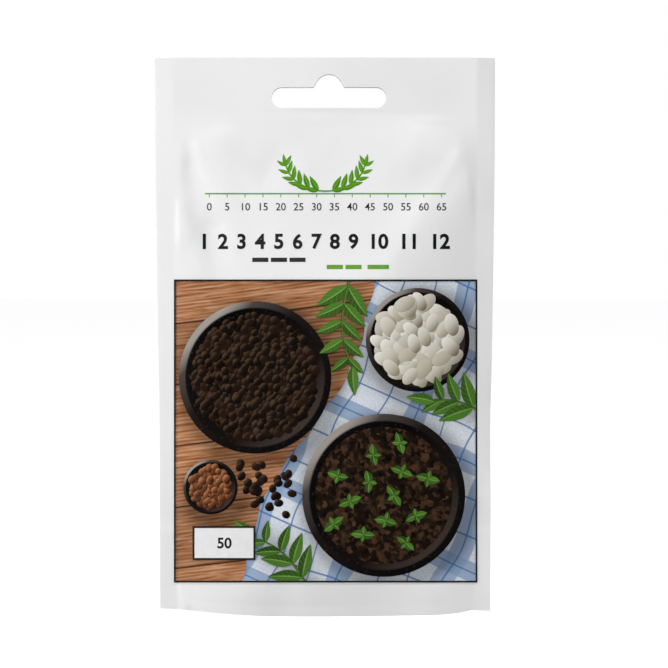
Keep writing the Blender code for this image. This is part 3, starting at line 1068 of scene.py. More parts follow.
def make_cloth():
    """Printed cotton, pale, with a woven check of blue lines."""
    material, tree, shader = start_print("printed_checked_cotton")
    place, parts = read_place(tree)
    # Threads are drawn 0.45 mm thick, where those of cotton at this scale would be too fine to show.
    weave = add_node(tree, "TexNoise", {"Vector": place, "Scale": 2.2, "Detail": 2.0})
    cotton = add_node(tree, "ValToRGB", {"Fac": weave}, [(0.35, "#d5e0ec"), (0.65, "#f1f4f8")])
    for axis, period, width, strength, colour in CHECK:
        stripe = stripes(tree, parts[axis], period, width, CHECK_SOFT)
        line = add_node(tree, "Math", {0: stripe, 1: strength}, operation="MULTIPLY")
        cotton = add_node(tree, "Mix", {0: line, 6: cotton, 7: linear(colour)}, data_type="RGBA")
    feed(tree, shader, {"Base Color": dim(tree, cotton, parts[1])})
    return material


cloth_print = make_cloth()
print(len(CHECK), "sets of bands and lines")

# %% Print the cloth
HEM_LOW = -25.0                          # x of the hem at the picture's lower edge, millimetres
HEM_HIGH = 16.0                          # and at its upper edge
HEM_WAVES = ((3.2, 7.5, 2.6), (0.5, 41, 0.0))    # size in millimetres, turns over the height, start
HEM_SHADE = 0.25                         # the hem is folded over, and darker by this
HEM_SHADE_WIDTH = 0.9
CLOTH_GRID = (90, 122)
CLOTH_CROWD = 1.6                        # the grid is closer at the right, where the film turns
CLOTH_TURN = 0.42                        # of the check, in radians
CREASE_WAYS = (200, 130)                 # radians per metre to the right and upwards
CREASE_WANDER = (1.3, 90, -70)           # how much the creases wander, and how fast
CREASE_LIGHT = (0.95, 0.09)              # light on the cloth, and how much of it the creases change
CREASE_SHIFT = (0.9, -0.6)               # how far they push the check, millimetres


def hem_at(share):
    """x of the hem at a share of the picture's height, in millimetres."""
    x = HEM_LOW + (HEM_HIGH - HEM_LOW) * share
    for size, turns, start in HEM_WAVES:
        x = x + size * np.sin(turns * share + start)
    return x


def print_cloth():
    _, bottom, right, top = PANEL
    sheet, a, b = start_sheet(*CLOTH_GRID)
    hem = hem_at((b + 1) / 2)
    x = hem * MM
    x = x + (right - x) * (1 - (0.5 - 0.5 * a) ** CLOTH_CROWD)
    z = bottom + (top - bottom) * (b + 1) / 2
    wander = CREASE_WANDER[0] * np.sin(CREASE_WANDER[1] * x + CREASE_WANDER[2] * z)
    crease = np.sin(CREASE_WAYS[0] * x + CREASE_WAYS[1] * z + wander)
    hem_shade = 1 - HEM_SHADE * bump(x / MM, hem, HEM_SHADE_WIDTH)
    shade = shade_at(x, z) * (CREASE_LIGHT[0] + CREASE_LIGHT[1] * crease) * hem_shade
    c, s = math.cos(CLOTH_TURN), math.sin(CLOTH_TURN)
    across_cloth = (x * c - z * s) / MM + CREASE_SHIFT[0] * crease
    along_cloth = (x * s + z * c) / MM + CREASE_SHIFT[1] * crease
    lay_flat(sheet, x, z, (across_cloth, shade, along_cloth))
    print_on_film("printed_cloth", sheet, "cloth", cloth_print)


print_cloth()

# %% [markdown]
# ## Bowls
# A bowl seen from above is a disc of glazed stoneware: an outer rim that catches the light at its upper
# left, and inside it a wall that falls away and is lit on the other side. A spun bowl, rendered, would give
# the same two rings, so the material paints them from the distance to the middle.

# %% Print the bowls
RIM = (0.90, 0.93)                       # where the wall ends and the rim starts, of the radius
BOWL_GRID = (40, 40)


def make_glaze():
    """Printed black stoneware glaze: a rim that catches light, and a wall that falls inwards."""
    material, tree, shader = start_print("printed_black_glaze")
    place, parts = read_place(tree)
    squares = [add_node(tree, "Math", {0: parts[i], 1: parts[i]}, operation="MULTIPLY") for i in (0, 2)]
    total = add_node(tree, "Math", dict(enumerate(squares)), operation="ADD")
    distance = add_node(tree, "Math", {0: total}, operation="SQRT")
    light = lit(tree, parts)
    rim = add_node(tree, "ValToRGB", {"Fac": light}, [
        (0.1, "#060404"), (0.62, "#1a1412"), (0.86, "#4a423e"), (0.97, "#a39b94"),
    ])
    wall = add_node(tree, "ValToRGB", {"Fac": light}, [
        (0.06, "#3f3530"), (0.30, "#120d0b"), (0.7, "#040303"),
    ])
    on_rim = add_node(tree, "MapRange", {0: distance, 1: RIM[0], 2: RIM[1]}, interpolation_type="SMOOTHSTEP")
    body = add_node(tree, "Mix", {0: on_rim, 6: wall, 7: rim}, data_type="RGBA")
    # Brown specks in the glaze, a twenty-sixth of a radius across.
    noise = add_node(tree, "TexNoise", {"Vector": place, "Scale": 26.0, "Detail": 2.0})
    levels = {0: noise, 1: 0.60, 2: 0.72, 3: 0.0, 4: 0.25}
    specks = add_node(tree, "MapRange", levels, interpolation_type="SMOOTHSTEP")
    glazed = add_node(tree, "Mix", {0: specks, 6: body, 7: linear("#5d524b")}, data_type="RGBA")
    feed(tree, shader, {"Base Color": glazed})
    return material


glaze_print = make_glaze()
for name, (x, z, radius) in (("printed_seed_bowl", SEED_BOWL), ("printed_bean_bowl", BEAN_BOWL),
                             ("printed_soil_bowl", SOIL_BOWL), ("printed_small_bowl", SMALL_BOWL)):
    bowl = copies(*BOWL_GRID, disc, [(x, z, 2 * radius, 2 * radius, 0, 0)])
    print_on_film(name, bowl, "bowls", glaze_print)

# %% [markdown]
# ## Seeds and beans in the bowls
# Seeds and beans that fill a bowl lie close, but in no pattern. Dropping them by simulation would take a
# while for something so small. Here they lie in rows shifted against each other and then jittered, in two
# layers, so that no spot stays bare. The dice are seeded, so they fall the same way in each run.

# %% Pack things into a bowl
dice = random.Random(7)
FILLED = 0.84                            # how much of a bowl's radius its filling takes
ROW_SPACING = 0.87                       # round things nest, so rows lie closer than neighbours in a row
LAYER_SHIFT = (0.35, 0.4)                # of the second layer, in spacings and rows
JITTER = 0.3                             # in spacings
EDGE_ROOM = 0.35                         # share of a thing's width kept inside the filling's edge
SIZE_RANGE = (0.86, 1.12)


def packed_spots(bowl, spacing, length, width, layers):
    """Jittered spots in a bowl for things of a length and width."""
    x, z, radius = bowl
    reach = radius * FILLED - width * EDGE_ROOM
    rows = int(reach / (spacing * ROW_SPACING)) + 1
    spots = []
    for layer in range(layers):
        for row in range(-rows, rows + 1):
            for column in range(-rows - 1, rows + 2):
                dx = (column + 0.5 * (row % 2) + LAYER_SHIFT[0] * layer) * spacing
                dx += dice.uniform(-JITTER, JITTER) * spacing
                dz = (row + LAYER_SHIFT[1] * layer) * spacing * ROW_SPACING
                dz += dice.uniform(-JITTER, JITTER) * spacing
                if math.hypot(dx, dz) < reach:
                    size = dice.uniform(*SIZE_RANGE)
                    spots.append((x + dx, z + dz, length * size, width * size, dice.uniform(0, 180),
                                  dice.random() ** 2))
    return spots


print("fillings reach, mm:", [round(radius * FILLED, 1) for _, _, radius in BOWLS])

# %% Print the seeds and the beans
LAYERS = 2
OTHER_TONE = 0.7                         # how far the most different seed goes towards the other tone


def make_round(name, dark, middle, light, other):
    """Printed seeds or beans: shaded from the upper left, some of them of another tone."""
    material, tree, shader = start_print(name)
    _, parts = read_place(tree)
    shading = [(0.10, dark), (0.55, middle), (0.92, light)]
    body = add_node(tree, "ValToRGB", {"Fac": lit(tree, parts)}, shading)
    share = add_node(tree, "Math", {0: parts[1], 1: OTHER_TONE}, operation="MULTIPLY")
    toned = add_node(tree, "Mix", {0: share, 6: body, 7: linear(other)}, data_type="RGBA")
    feed(tree, shader, {"Base Color": toned})
    return material


dark_seed = make_round("printed_dark_seeds", "#030202", "#140c08", "#54402f", "#2c190f")
brown_seed = make_round("printed_brown_seeds", "#1d110c", "#7a4527", "#b98055", "#4a2c1f")
bean = make_round("printed_cream_beans", "#7d7564", "#d6d2c4", "#f3f1ea", "#b8af98")
# name, grid, bowl, spacing, length and width in millimetres, material
FILLINGS = (
    ("printed_seeds", (4, 4), SEED_BOWL, 1.9, 2.7, 2.2, dark_seed),
    ("printed_small_seeds", (4, 4), SMALL_BOWL, 1.6, 2.2, 1.9, brown_seed),
    ("printed_beans", (11, 8), BEAN_BOWL, 3.3, 6.0, 3.7, bean),
)
for name, grid, bowl, spacing, length, width, material in FILLINGS:
    filling = copies(*grid, disc, packed_spots(bowl, spacing, length, width, LAYERS))
    print_on_film(name, filling, "fillings", material)

# %% [markdown]
# ## Soil
# Potting soil is crumbs of every size, from near black to brown. Thousands of small stones would show the
# same, so two textures make them: Voronoi cells give each crumb one tone, and a noise joins crumbs to lumps.

# %% Print the soil
SOIL_GRID = (30, 30)
CRUMB_SHARE = 0.4                        # how much of a crumb's tone is its own, and how much its lump's
LUMP_SHARE = 0.6


def make_soil():
    """Printed potting soil: crumbs from near black to brown."""
    material, tree, shader = start_print("printed_potting_soil")
    place, _ = read_place(tree)
    # A place goes from 0 to 1 over the soil's radius of 19 mm, so crumbs are 1.2 mm and lumps 2 mm across.
    crumbs = add_node(tree, "TexVoronoi", {"Vector": place, "Scale": 16.0}).outputs["Color"]
    crumb = add_node(tree, "SeparateXYZ", {0: crumbs}).outputs[0]
    lump = add_node(tree, "TexNoise", {"Vector": place, "Scale": 9.0, "Detail": 6.0})
    lumps = add_node(tree, "Math", {0: lump, 1: LUMP_SHARE}, operation="MULTIPLY")
    level = add_node(tree, "Math", {0: crumb, 1: CRUMB_SHARE, 2: lumps}, operation="MULTIPLY_ADD")
    brown = add_node(tree, "ValToRGB", {"Fac": level}, [
        (0.25, "#050302"), (0.5, "#1e130d"), (0.75, "#4f3826"),
    ])
    feed(tree, shader, {"Base Color": brown})
    return material


x, z, radius = SOIL_BOWL
soil = copies(*SOIL_GRID, disc, [(x, z, 2 * radius * FILLED, 2 * radius * FILLED, 0, 0)])
print_on_film("printed_soil", soil, "fillings", make_soil())

# %% [markdown]
# ## Leaves
# A leaf is a small sheet that narrows to its base and tip and bends to one side. One half of it faces the
# light and the other doesn't, and a pale midrib and side veins run over both. The outline comes from moving
# a grid's points, and the veins from stripes in the material, because as geometry they would be finer than
# the ink.

# %% Make the leaves' shape and material
LEAF_FOOT = 0.045                        # half width at the base, of the largest
LEAF_FULLNESS = 0.9                      # less makes the outline blunter
LEAF_BASE_POWER = 0.85                   # less puts the widest place nearer the base
LEAF_TAPER = 0.2
LEAF_BEND = 0.5
VEIN = (0.30, 0.03, 0.02)                # spacing, width and softness of side veins, of half a leaf's length
VEIN_SLANT = -0.35
VEIN_STRENGTH = 0.35
MIDRIB = (0.14, 0.05)                    # where it starts and where it is full, from the leaf's middle
MIDRIB_STRENGTH = 0.8
FOLD_SOFT = 0.15                         # how softly the lit half turns into the other
HALF_SHARE = 0.45                        # how much of a leaf's tone comes from its half
OWN_SHARE = 0.55                         # and how much is its own


def leaf_shape(a, b):
    """From base at 0 to tip at 2, with a bend."""
    u = (a + 1) / 2
    outline = np.sin(math.pi * np.clip(u, 0, 1) ** LEAF_BASE_POWER) ** LEAF_FULLNESS
    half = LEAF_FOOT + (1 - LEAF_FOOT) * outline * (1 - LEAF_TAPER * u)
    return 2 * u, b * half + LEAF_BEND * u * u


def make_leaf(name, dark, light, vein):
    """Printed leaves: a pale midrib, side veins, and one half in shade."""
    material, tree, shader = start_print(name)
    _, parts = read_place(tree)
    off = add_node(tree, "Math", {0: parts[2]}, operation="ABSOLUTE")
    halves = {0: parts[2], 1: -FOLD_SOFT, 2: FOLD_SOFT}
    half = add_node(tree, "MapRange", halves, interpolation_type="SMOOTHSTEP")
    own = add_node(tree, "Math", {0: parts[1], 1: OWN_SHARE}, operation="MULTIPLY")
    level = add_node(tree, "Math", {0: half, 1: HALF_SHARE, 2: own}, operation="MULTIPLY_ADD")
    body = add_node(tree, "ValToRGB", {"Fac": level}, [(0.0, dark), (1.0, light)])
    slanted = add_node(tree, "Math", {0: off, 1: VEIN_SLANT, 2: parts[0]}, operation="MULTIPLY_ADD")
    lines = stripes(tree, slanted, *VEIN)
    veins = add_node(tree, "Math", {0: lines, 1: VEIN_STRENGTH}, operation="MULTIPLY")
    ribbed = add_node(tree, "Mix", {0: veins, 6: body, 7: linear(vein)}, data_type="RGBA")
    levels = {0: off, 1: MIDRIB[0], 2: MIDRIB[1], 3: 0.0, 4: MIDRIB_STRENGTH}
    midrib = add_node(tree, "MapRange", levels, interpolation_type="SMOOTHSTEP")
    veined = add_node(tree, "Mix", {0: midrib, 6: ribbed, 7: linear(vein)}, data_type="RGBA")
    feed(tree, shader, {"Base Color": veined})
    return material


leaf_green = make_leaf("printed_sprig_green", "#16300a", "#51822b", "#86a85e")
print(len(leaf_green.node_tree.nodes), "nodes in a leaf's material")

# %% [markdown]
# ## Sprigs
# A sprig has pairs of leaves along a bent stem, larger near its base, and one at its tip. It could grow by
# rules, branch by branch, but three short sprigs only need their stems' points and a pair at every fourth
# one. What reaches over the picture's edge is cut off, as the frame of a picture does.

# %% Place a sprig's stem and leaves
STEM_OVERLAP = 1.15                      # pieces of stem are longer than the way between two points
STEM_WIDTH = 0.75                        # at the base; it loses STEM_TAPER on its way
STEM_TAPER = 0.4
LEAF_LENGTH = 10.5                       # at the base; it loses LEAF_LOSS on its way
LEAF_LOSS = 4.5
LEAF_WIDTH = 0.42                        # of its length
LEAF_JITTER = (0.92, 1.08)               # of its length
LEAF_SPREAD = (38, 52)                   # from the stem, in degrees
LEAF_TONES = (0.3, 1.0)
STEM_TONE = 0.5
TIP_LEAF = (8.0, 3.4, -4, 0.9)           # length, width, turn and tone


def sprig_spots(sprig):
    """Leaves and stem pieces of one sprig."""
    leaves, stems = [], []
    points = list(sprig_points(sprig))
    for (x, z, _, share), (next_x, next_z, _, _) in zip(points, points[1:]):
        turn = math.degrees(math.atan2(next_z - z, next_x - x))
        length = math.hypot(next_x - x, next_z - z) * STEM_OVERLAP
        width = STEM_WIDTH - STEM_TAPER * share
        stems.append(((x + next_x) / 2, (z + next_z) / 2, length, width, turn, STEM_TONE))
    for x, z, angle, share in points[2::STEPS_PER_PAIR]:
        length = (LEAF_LENGTH - LEAF_LOSS * share) * dice.uniform(*LEAF_JITTER)
        for side in (1, -1):
            turn = math.degrees(angle) + side * dice.uniform(*LEAF_SPREAD)
            leaves.append((x, z, length, side * length * LEAF_WIDTH, turn, dice.uniform(*LEAF_TONES)))
    x, z, angle, _ = points[-1]
    length, width, turn, tone = TIP_LEAF
    leaves.append((x, z, length, width, math.degrees(angle) + turn, tone))
    return leaves, stems


leaf_spots, stem_spots = [], []
for sprig in SPRIGS:
    leaves, stems = sprig_spots(sprig)
    leaf_spots += leaves
    stem_spots += stems
print(len(leaf_spots), "leaves on", len(SPRIGS), "stems")

# %% Print the sprigs
def crop(sheet):
    """Cut off what lies outside the picture."""
    left, bottom, right, top = PANEL
    shape = bmesh.new()
    shape.from_mesh(sheet.data)
    for point, outwards in (((left, 0, 0), (-1, 0, 0)), ((right, 0, 0), (1, 0, 0)),
                            ((0, 0, bottom), (0, 0, -1)), ((0, 0, top), (0, 0, 1))):
        parts = shape.verts[:] + shape.edges[:] + shape.faces[:]
        bmesh.ops.bisect_plane(shape, geom=parts, plane_co=point, plane_no=outwards, clear_outer=True)
    shape.to_mesh(sheet.data)
    shape.free()
    return sheet


print_on_film("printed_stems", crop(copies(2, 1, strip, stem_spots, own=True)), "stems", leaf_green)
print_on_film("printed_leaves", crop(copies(12, 6, leaf_shape, leaf_spots, own=True)), "leaves", leaf_green)

# %% [markdown]
# ## Seedlings and loose seeds
# A seedling has two seed leaves and, across them, two smaller true leaves. Seedlings sown by hand keep their
# distance: a spiral that turns by 137.5 degrees from one to the next, as in a sunflower's head, spreads them
# evenly without looking like rows. A few seeds have rolled off onto the planks, thickest near one place and
# never under a bowl.

# %% Print the seedlings
SEEDLINGS = 13
SPIRAL_TURN = 137.5
SPIRAL_REACH = 0.86                      # of the soil's radius
SPIRAL_START = 0.4
SEEDLING_LENGTHS = (2.9, 3.5)            # of one leaf, millimetres
SEEDLING_WIDTH = 0.8                     # of its length
SEEDLING_TURN = 14                       # how far it may be off its place, in degrees
SEEDLING_TONES = (0.4, 1.0)
SEEDLING_LEAVES = ((0, 1), (90, 0.68), (180, 1), (270, 0.68))    # turn, and size of each leaf


def seedling_spots():
    """The leaves of all seedlings, spread over the soil."""
    bowl_x, bowl_z, radius = SOIL_BOWL
    spots = []
    for i in range(SEEDLINGS):
        angle = math.radians(SPIRAL_TURN * i)
        reach = radius * FILLED * SPIRAL_REACH * math.sqrt((i + SPIRAL_START) / SEEDLINGS)
        x, z = bowl_x + reach * math.cos(angle), bowl_z + reach * math.sin(angle)
        turn = dice.uniform(0, 360)
        for side, full in SEEDLING_LEAVES:
            length = full * dice.uniform(*SEEDLING_LENGTHS)
            way = turn + side + dice.uniform(-SEEDLING_TURN, SEEDLING_TURN)
            spots.append((x, z, length, length * SEEDLING_WIDTH, way, dice.uniform(*SEEDLING_TONES)))
    return spots


seedlings = copies(5, 4, leaf_shape, seedling_spots(), own=True)
print_on_film("printed_seedlings", seedlings, "seedlings", leaf_green)

# %% Print the loose seeds
LOOSE_SEEDS = 34
LOOSE_MIDDLE = (-17, 36)                 # x and z in millimetres
LOOSE_SPREAD = (6, 5)
LOOSE_LOW = 26                           # so none lies under the label
LOOSE_SIZE = (2.6, 2.1)
LOOSE_JITTER = (0.88, 1.1)
CLEAR_OF_BOWLS = 1.6

loose = []
while len(loose) < LOOSE_SEEDS:
    x, z = dice.gauss(LOOSE_MIDDLE[0], LOOSE_SPREAD[0]), dice.gauss(LOOSE_MIDDLE[1], LOOSE_SPREAD[1])
    to_bowls = [math.hypot(x - bowl_x, z - bowl_z) - radius for bowl_x, bowl_z, radius in BOWLS]
    if min(to_bowls) > CLEAR_OF_BOWLS and z > LOOSE_LOW:
        length = LOOSE_SIZE[0] * dice.uniform(*LOOSE_JITTER)
        loose.append((x, z, length, LOOSE_SIZE[1], dice.uniform(0, 180), dice.random() ** 2))
print_on_film("printed_loose_seeds", copies(4, 4, disc, loose), "bowls", dark_seed)

# %% [markdown]
# ## Inks
# Lines, numbers and plain fields are single inks. A press never lays them quite evenly, which shows as a
# faint mottling 2 mm across, so each ink has two shades a step apart. The pale field of the label is
# glossier than the dark inks, as the white film is.

# %% Mix the inks
INK_SPECULAR = 0.14
LABEL_SPECULAR = 0.3


def make_ink(name, dark, light, specular=INK_SPECULAR):
    """Plain ink, with a little unevenness from the press."""
    material, tree, shader = start_print(name, specular)
    press = add_node(tree, "TexNoise", {"Vector": object_point(tree), "Scale": 0.5, "Detail": 3.0})
    colour = add_node(tree, "ValToRGB", {"Fac": press}, [(0.35, dark), (0.65, light)])
    feed(tree, shader, {"Base Color": colour})
    return material


black_ink = make_ink("black_ink", "#060606", "#0d0d0d")
green_ink = make_ink("green_ink", "#5f9a26", "#6aa532")
grey_ink = make_ink("dark_grey_ink", "#1e1f1f", "#272828")
label_ink = make_ink("pale_grey_ink", "#e8e8e8", "#ededed", LABEL_SPECULAR)
print(len(bpy.data.materials), "materials so far")

# %% [markdown]
# ## The picture's frame and the label
# A thin black frame runs around the picture, and in its lower left corner is a small framed field with a
# number. A frame could be the rim of an inset rectangle, but a line has to bend with the film all along, so
# it is four strips with many columns. The number comes from Blender's own plain typeface, made a mesh.

# %% Print frames and numbers
FRAME_COLUMNS = 90
NUMBER_MERGE = 0.0005                    # in the typeface's own unit, its line height
NUMBER_CUTS = 2                          # so that a number can bend with the film
NUMBER_CURVES = 5                        # points on each curve of a number


def print_frame(name, box, width, material):
    """Four lines along the inner side of a box."""
    left, bottom, right, top = box
    lines = []
    for x, z, length, turn in (
        ((left + right) / 2, bottom + width / 2, right - left, 0),
        ((left + right) / 2, top - width / 2, right - left, 0),
        (left + width / 2, (bottom + top) / 2, top - bottom - 2 * width, 90),
        (right - width / 2, (bottom + top) / 2, top - bottom - 2 * width, 90),
    ):
        lines.append((x / MM, z / MM, length / MM, width / MM, turn, 0))
    print_on_film(name, copies(FRAME_COLUMNS, 1, strip, lines, own=True, gap=0.0), "frames", material)


def number_sheet(text, x, z, height, weight):
    """Numbers centred on x, standing on z, of a height, in millimetres."""
    curve = bpy.data.curves.new("number", "FONT")
    curve.body = text
    curve.align_x = "CENTER"
    curve.offset = weight
    curve.resolution_u = NUMBER_CURVES
    number = bpy.data.objects.new("number", curve)
    bpy.context.scene.collection.objects.link(number)
    select_only(number)
    bpy.ops.object.convert(target="MESH")
    bpy.ops.object.mode_set(mode="EDIT")
    bpy.ops.mesh.select_all(action="SELECT")
    bpy.ops.mesh.remove_doubles(threshold=NUMBER_MERGE)
    bpy.ops.mesh.quads_convert_to_tris()
    bpy.ops.mesh.subdivide(number_cuts=NUMBER_CUTS)
    bpy.ops.object.mode_set(mode="OBJECT")
    flat = read_points(number)[:, :2]
    flat[:, 1] -= flat[:, 1].min()
    flat *= height / flat[:, 1].max()
    place = (flat[:, 0], flat[:, 1] * 0, flat[:, 1])
    return lay_flat(number, (x + flat[:, 0]) * MM, (z + flat[:, 1]) * MM, place)


print("frame tools ready")

# %% Print the picture's frame and the label
PICTURE_LINE = 0.50 * MM
LABEL_LINE = 0.56 * MM
LABEL = (-37.0 * MM, 14.4 * MM, -19.4 * MM, 23.9 * MM)   # left, bottom, right, top
LABEL_NUMBER = (-28.1, 17.6, 3.1, 0.026)                 # x, z, height and weight

print_frame("picture_frame", PANEL, PICTURE_LINE, black_ink)
print_box("label", LABEL, "label", label_ink)
print_frame("label_frame", LABEL, LABEL_LINE, black_ink)
print_on_film("label_number", number_sheet("50", *LABEL_NUMBER), "frames", black_ink)

# %% [markdown]
# ## The scale
# Under the garland is a green line, and on it a scale in true millimetres, with a tick and a number every 5
# mm, to measure how deep and how far apart to sow. Each tick could be an array's copy, but ticks and numbers
# have to stand at the same places, so one list of places makes both.

# %% Print the rule and its scale
RULE = (-33.5 * MM, 116.7 * MM, 33.9 * MM, 117.1 * MM)
SCALE_MIDDLE = 0.2                       # x of the scale's middle, millimetres
SCALE_SPACING = 5
SCALE_STEPS = 13
TICK = (116.3, 0.8, 0.25)                # z of its middle, length and width
SCALE_NUMBER = (112.2, 2.1, 0.004)       # z, height and weight

print_box("green_rule", RULE, "lines", green_ink, 0.7)
scale_x = [SCALE_MIDDLE + SCALE_SPACING * (i - SCALE_STEPS / 2) for i in range(SCALE_STEPS + 1)]
scale = [number_sheet(str(SCALE_SPACING * i), x, *SCALE_NUMBER) for i, x in enumerate(scale_x)]
print_on_film("scale_numbers", join(scale), "numbers", grey_ink)
ticks = [(x, *TICK, 90, 0) for x in scale_x]
print_on_film("scale_ticks", copies(2, 1, strip, ticks, own=True, gap=0.0), "lines", green_ink)

# %% [markdown]
# ## The months
# The big numbers are the twelve months. The dark bars under them are the time to sow, and the green ones, a
# line lower, the time to harvest. As one line of text they would stand where the typeface wants them, so
# each is placed on its own, with room for the two digits of the last three.

# %% Print the months and their bars
MONTHS_LEFT = -35.2                      # millimetres
MONTHS_WIDTH = 70.6
MONTH_NUMBER = (101.4, 4.3, 0.03)        # z, height and weight
ONE_DIGIT = 9                            # months whose number has one digit
MONTH_WIDTHS = [3.0] * ONE_DIGIT + [6.4] * (12 - ONE_DIGIT)
MONTH_GAP = (MONTHS_WIDTH - sum(MONTH_WIDTHS)) / (len(MONTH_WIDTHS) - 1)
SOW = (3, 4, 5)                          # April to June, counted from January as 0
REAP = (7, 8, 9)                         # August to October
SOW_Z = 98.4
REAP_Z = 96.4
BAR = (4.5, 1.2)                         # length and width
WIDE_BAR = 6.0                           # under two digits

month_x = [
    MONTHS_LEFT + sum(MONTH_WIDTHS[:i]) + width / 2 + i * MONTH_GAP for i, width in enumerate(MONTH_WIDTHS)
]
months = [number_sheet(str(i + 1), x, *MONTH_NUMBER) for i, x in enumerate(month_x)]
print_on_film("month_numbers", join(months), "numbers", black_ink)
sow = [(month_x[i], SOW_Z, BAR[0], BAR[1], 0, 0) for i in SOW]
reap = [(month_x[i], REAP_Z, BAR[0] if i < ONE_DIGIT else WIDE_BAR, BAR[1], 0, 0) for i in REAP]
print_on_film("sowing_bars", copies(8, 2, strip, sow, own=True, gap=0.0), "shapes", grey_ink)
print_on_film("harvest_bars", copies(8, 2, strip, reap, own=True, gap=0.0), "shapes", green_ink)

# %% [markdown]
# ## The garland
# Two leafy branches rise from the middle of the green line and bow outwards, mirror images of each other. A
# mirror modifier could copy one onto the other, but every leaf is placed by numbers anyway, so a leaf of the
# left branch just gets a mirrored place, width and turn.

# %% Follow a branch
GARLAND_MIDDLE = (0.2, 117.6)            # x and z of its foot, millimetres
GARLAND_REACH = 11.2                     # of each of its two branches
GARLAND_RISE = 8.6
GARLAND_ARC = 84                         # degrees of a circle that a branch follows
GARLAND_TURN = 68                        # how far its leaves turn on the way


def garland_point(side, share):
    """A point on a branch, and the branch's turn there, in degrees."""
    turn = math.radians(GARLAND_ARC * share)
    x = GARLAND_MIDDLE[0] + side * GARLAND_REACH * math.sin(turn)
    return x, GARLAND_MIDDLE[1] + GARLAND_RISE * (1 - math.cos(turn)), GARLAND_TURN * share


def mirrored(side, turn):
    return turn if side > 0 else 180 - turn


print("top of a branch, mm:", round(garland_point(1, 1)[1], 1))

# %% Print the garland
GARLAND_PAIRS = 6
PAIR_PLACE = 0.7                         # where a pair of leaves is on its part of the branch
GARLAND_LEAVES = ((46, 4.8), (-40, 4.2))    # spread from the branch in degrees, and length
GARLAND_LEAF_WIDTH = 0.36
GARLAND_SHRINK = 0.06                    # how much each pair is smaller than the largest, times its number
GARLAND_LEAST_TURN = 6                   # no leaf lies flatter over the green line
GARLAND_TONES = (0.1, 0.14)              # of the first pair, and what each further one adds
GARLAND_TIP = (3.4, 1.2, 72, 0.9)        # length, width, turn and tone of the last leaf
GARLAND_TIP_PLACE = 0.95
TWIG_WIDTH = 0.45
TWIG_OVERLAP = 1.1
TWIG_TONE = 0.5


def garland_spots():
    """Leaves and twigs of both branches."""
    leaves, twigs = [], []
    for side in (1, -1):
        for i in range(GARLAND_PAIRS):
            x, z, along = garland_point(side, (i + PAIR_PLACE) / GARLAND_PAIRS)
            tone = GARLAND_TONES[0] + GARLAND_TONES[1] * i
            for spread, full in GARLAND_LEAVES:
                length = full * (1.0 - GARLAND_SHRINK * i)
                turn = mirrored(side, max(along + spread, GARLAND_LEAST_TURN))
                leaves.append((x, z, length, side * GARLAND_LEAF_WIDTH * length, turn, tone))
            before_x, before_z, _ = garland_point(side, (i - 1 + PAIR_PLACE) / GARLAND_PAIRS if i else 0)
            length = TWIG_OVERLAP * math.hypot(x - before_x, z - before_z)
            turn = math.degrees(math.atan2(z - before_z, x - before_x))
            twigs.append(((x + before_x) / 2, (z + before_z) / 2, length, TWIG_WIDTH, turn, TWIG_TONE))
        x, z, _ = garland_point(side, GARLAND_TIP_PLACE)
        length, width, turn, tone = GARLAND_TIP
        leaves.append((x, z, length, side * width, mirrored(side, turn), tone))
    return leaves, twigs


garland_green = make_leaf("printed_garland_green", "#437f12", "#62a31c", "#7db63f")
garland, twigs = garland_spots()
print_on_film("garland_twigs", copies(2, 1, strip, twigs, own=True), "lines", garland_green)
print_on_film("garland", copies(8, 4, leaf_shape, garland, own=True), "shapes", garland_green)

# %% [markdown]
# ## The floor
# The packet stands on a large sheet of white paper that is lit until it comes out pure white. A bent
# backdrop would need a bend that never shows, so the paper is flat and runs out to where it meets a white
# room. It has a faint fibre, which shows only close up.

# %% Make the floor
FLOOR_SIZE = 16.0
FLOOR_GLOW = 0.85                        # the paper is lit from behind as well

bpy.ops.object.select_all(action="DESELECT")
bpy.ops.mesh.primitive_plane_add(size=FLOOR_SIZE, location=(0, 0, 0))
floor = bpy.context.object
floor.name = "studio_floor"


def make_floor_material():
    """Matt white paper, lit until it is plain white."""
    material, tree, shader = start_material("white_background_paper")
    fibre = add_node(tree, "TexNoise", {"Vector": object_point(tree), "Scale": 0.4, "Detail": 4.0})
    white = add_node(tree, "ValToRGB", {"Fac": fibre}, [(0.3, "#f6f6f6"), (0.7, "#fafafa")])
    feed(tree, shader, {
        "Base Color": white, "Roughness": 0.9, "Specular IOR Level": 0.1,
        "Emission Color": (1, 1, 1, 1), "Emission Strength": FLOOR_GLOW,
    })
    return material


floor.data.materials.append(make_floor_material())
floor.visible_diffuse = False            # or its glare would drown the packet's own shading
print("floor, m:", FLOOR_SIZE)

# %% [markdown]
# ## The room
# Behind the floor is a room of even white light, so no horizon shows. A plain white world would do that, but
# it would light the packet as brightly as it looks, and wash its folds out. So what the camera sees of the
# room is white, and what falls on the packet is dimmer, more of it from below, as white paper sends it back.

# %% Light the room
SKY_LIGHT = 0.14                         # what the white room gives from above the floor's level
GROUND_LIGHT = 0.36                      # and from below it
WALL_SEEN = 1.0                          # how bright its wall looks
LEVEL_BLEND = 0.1

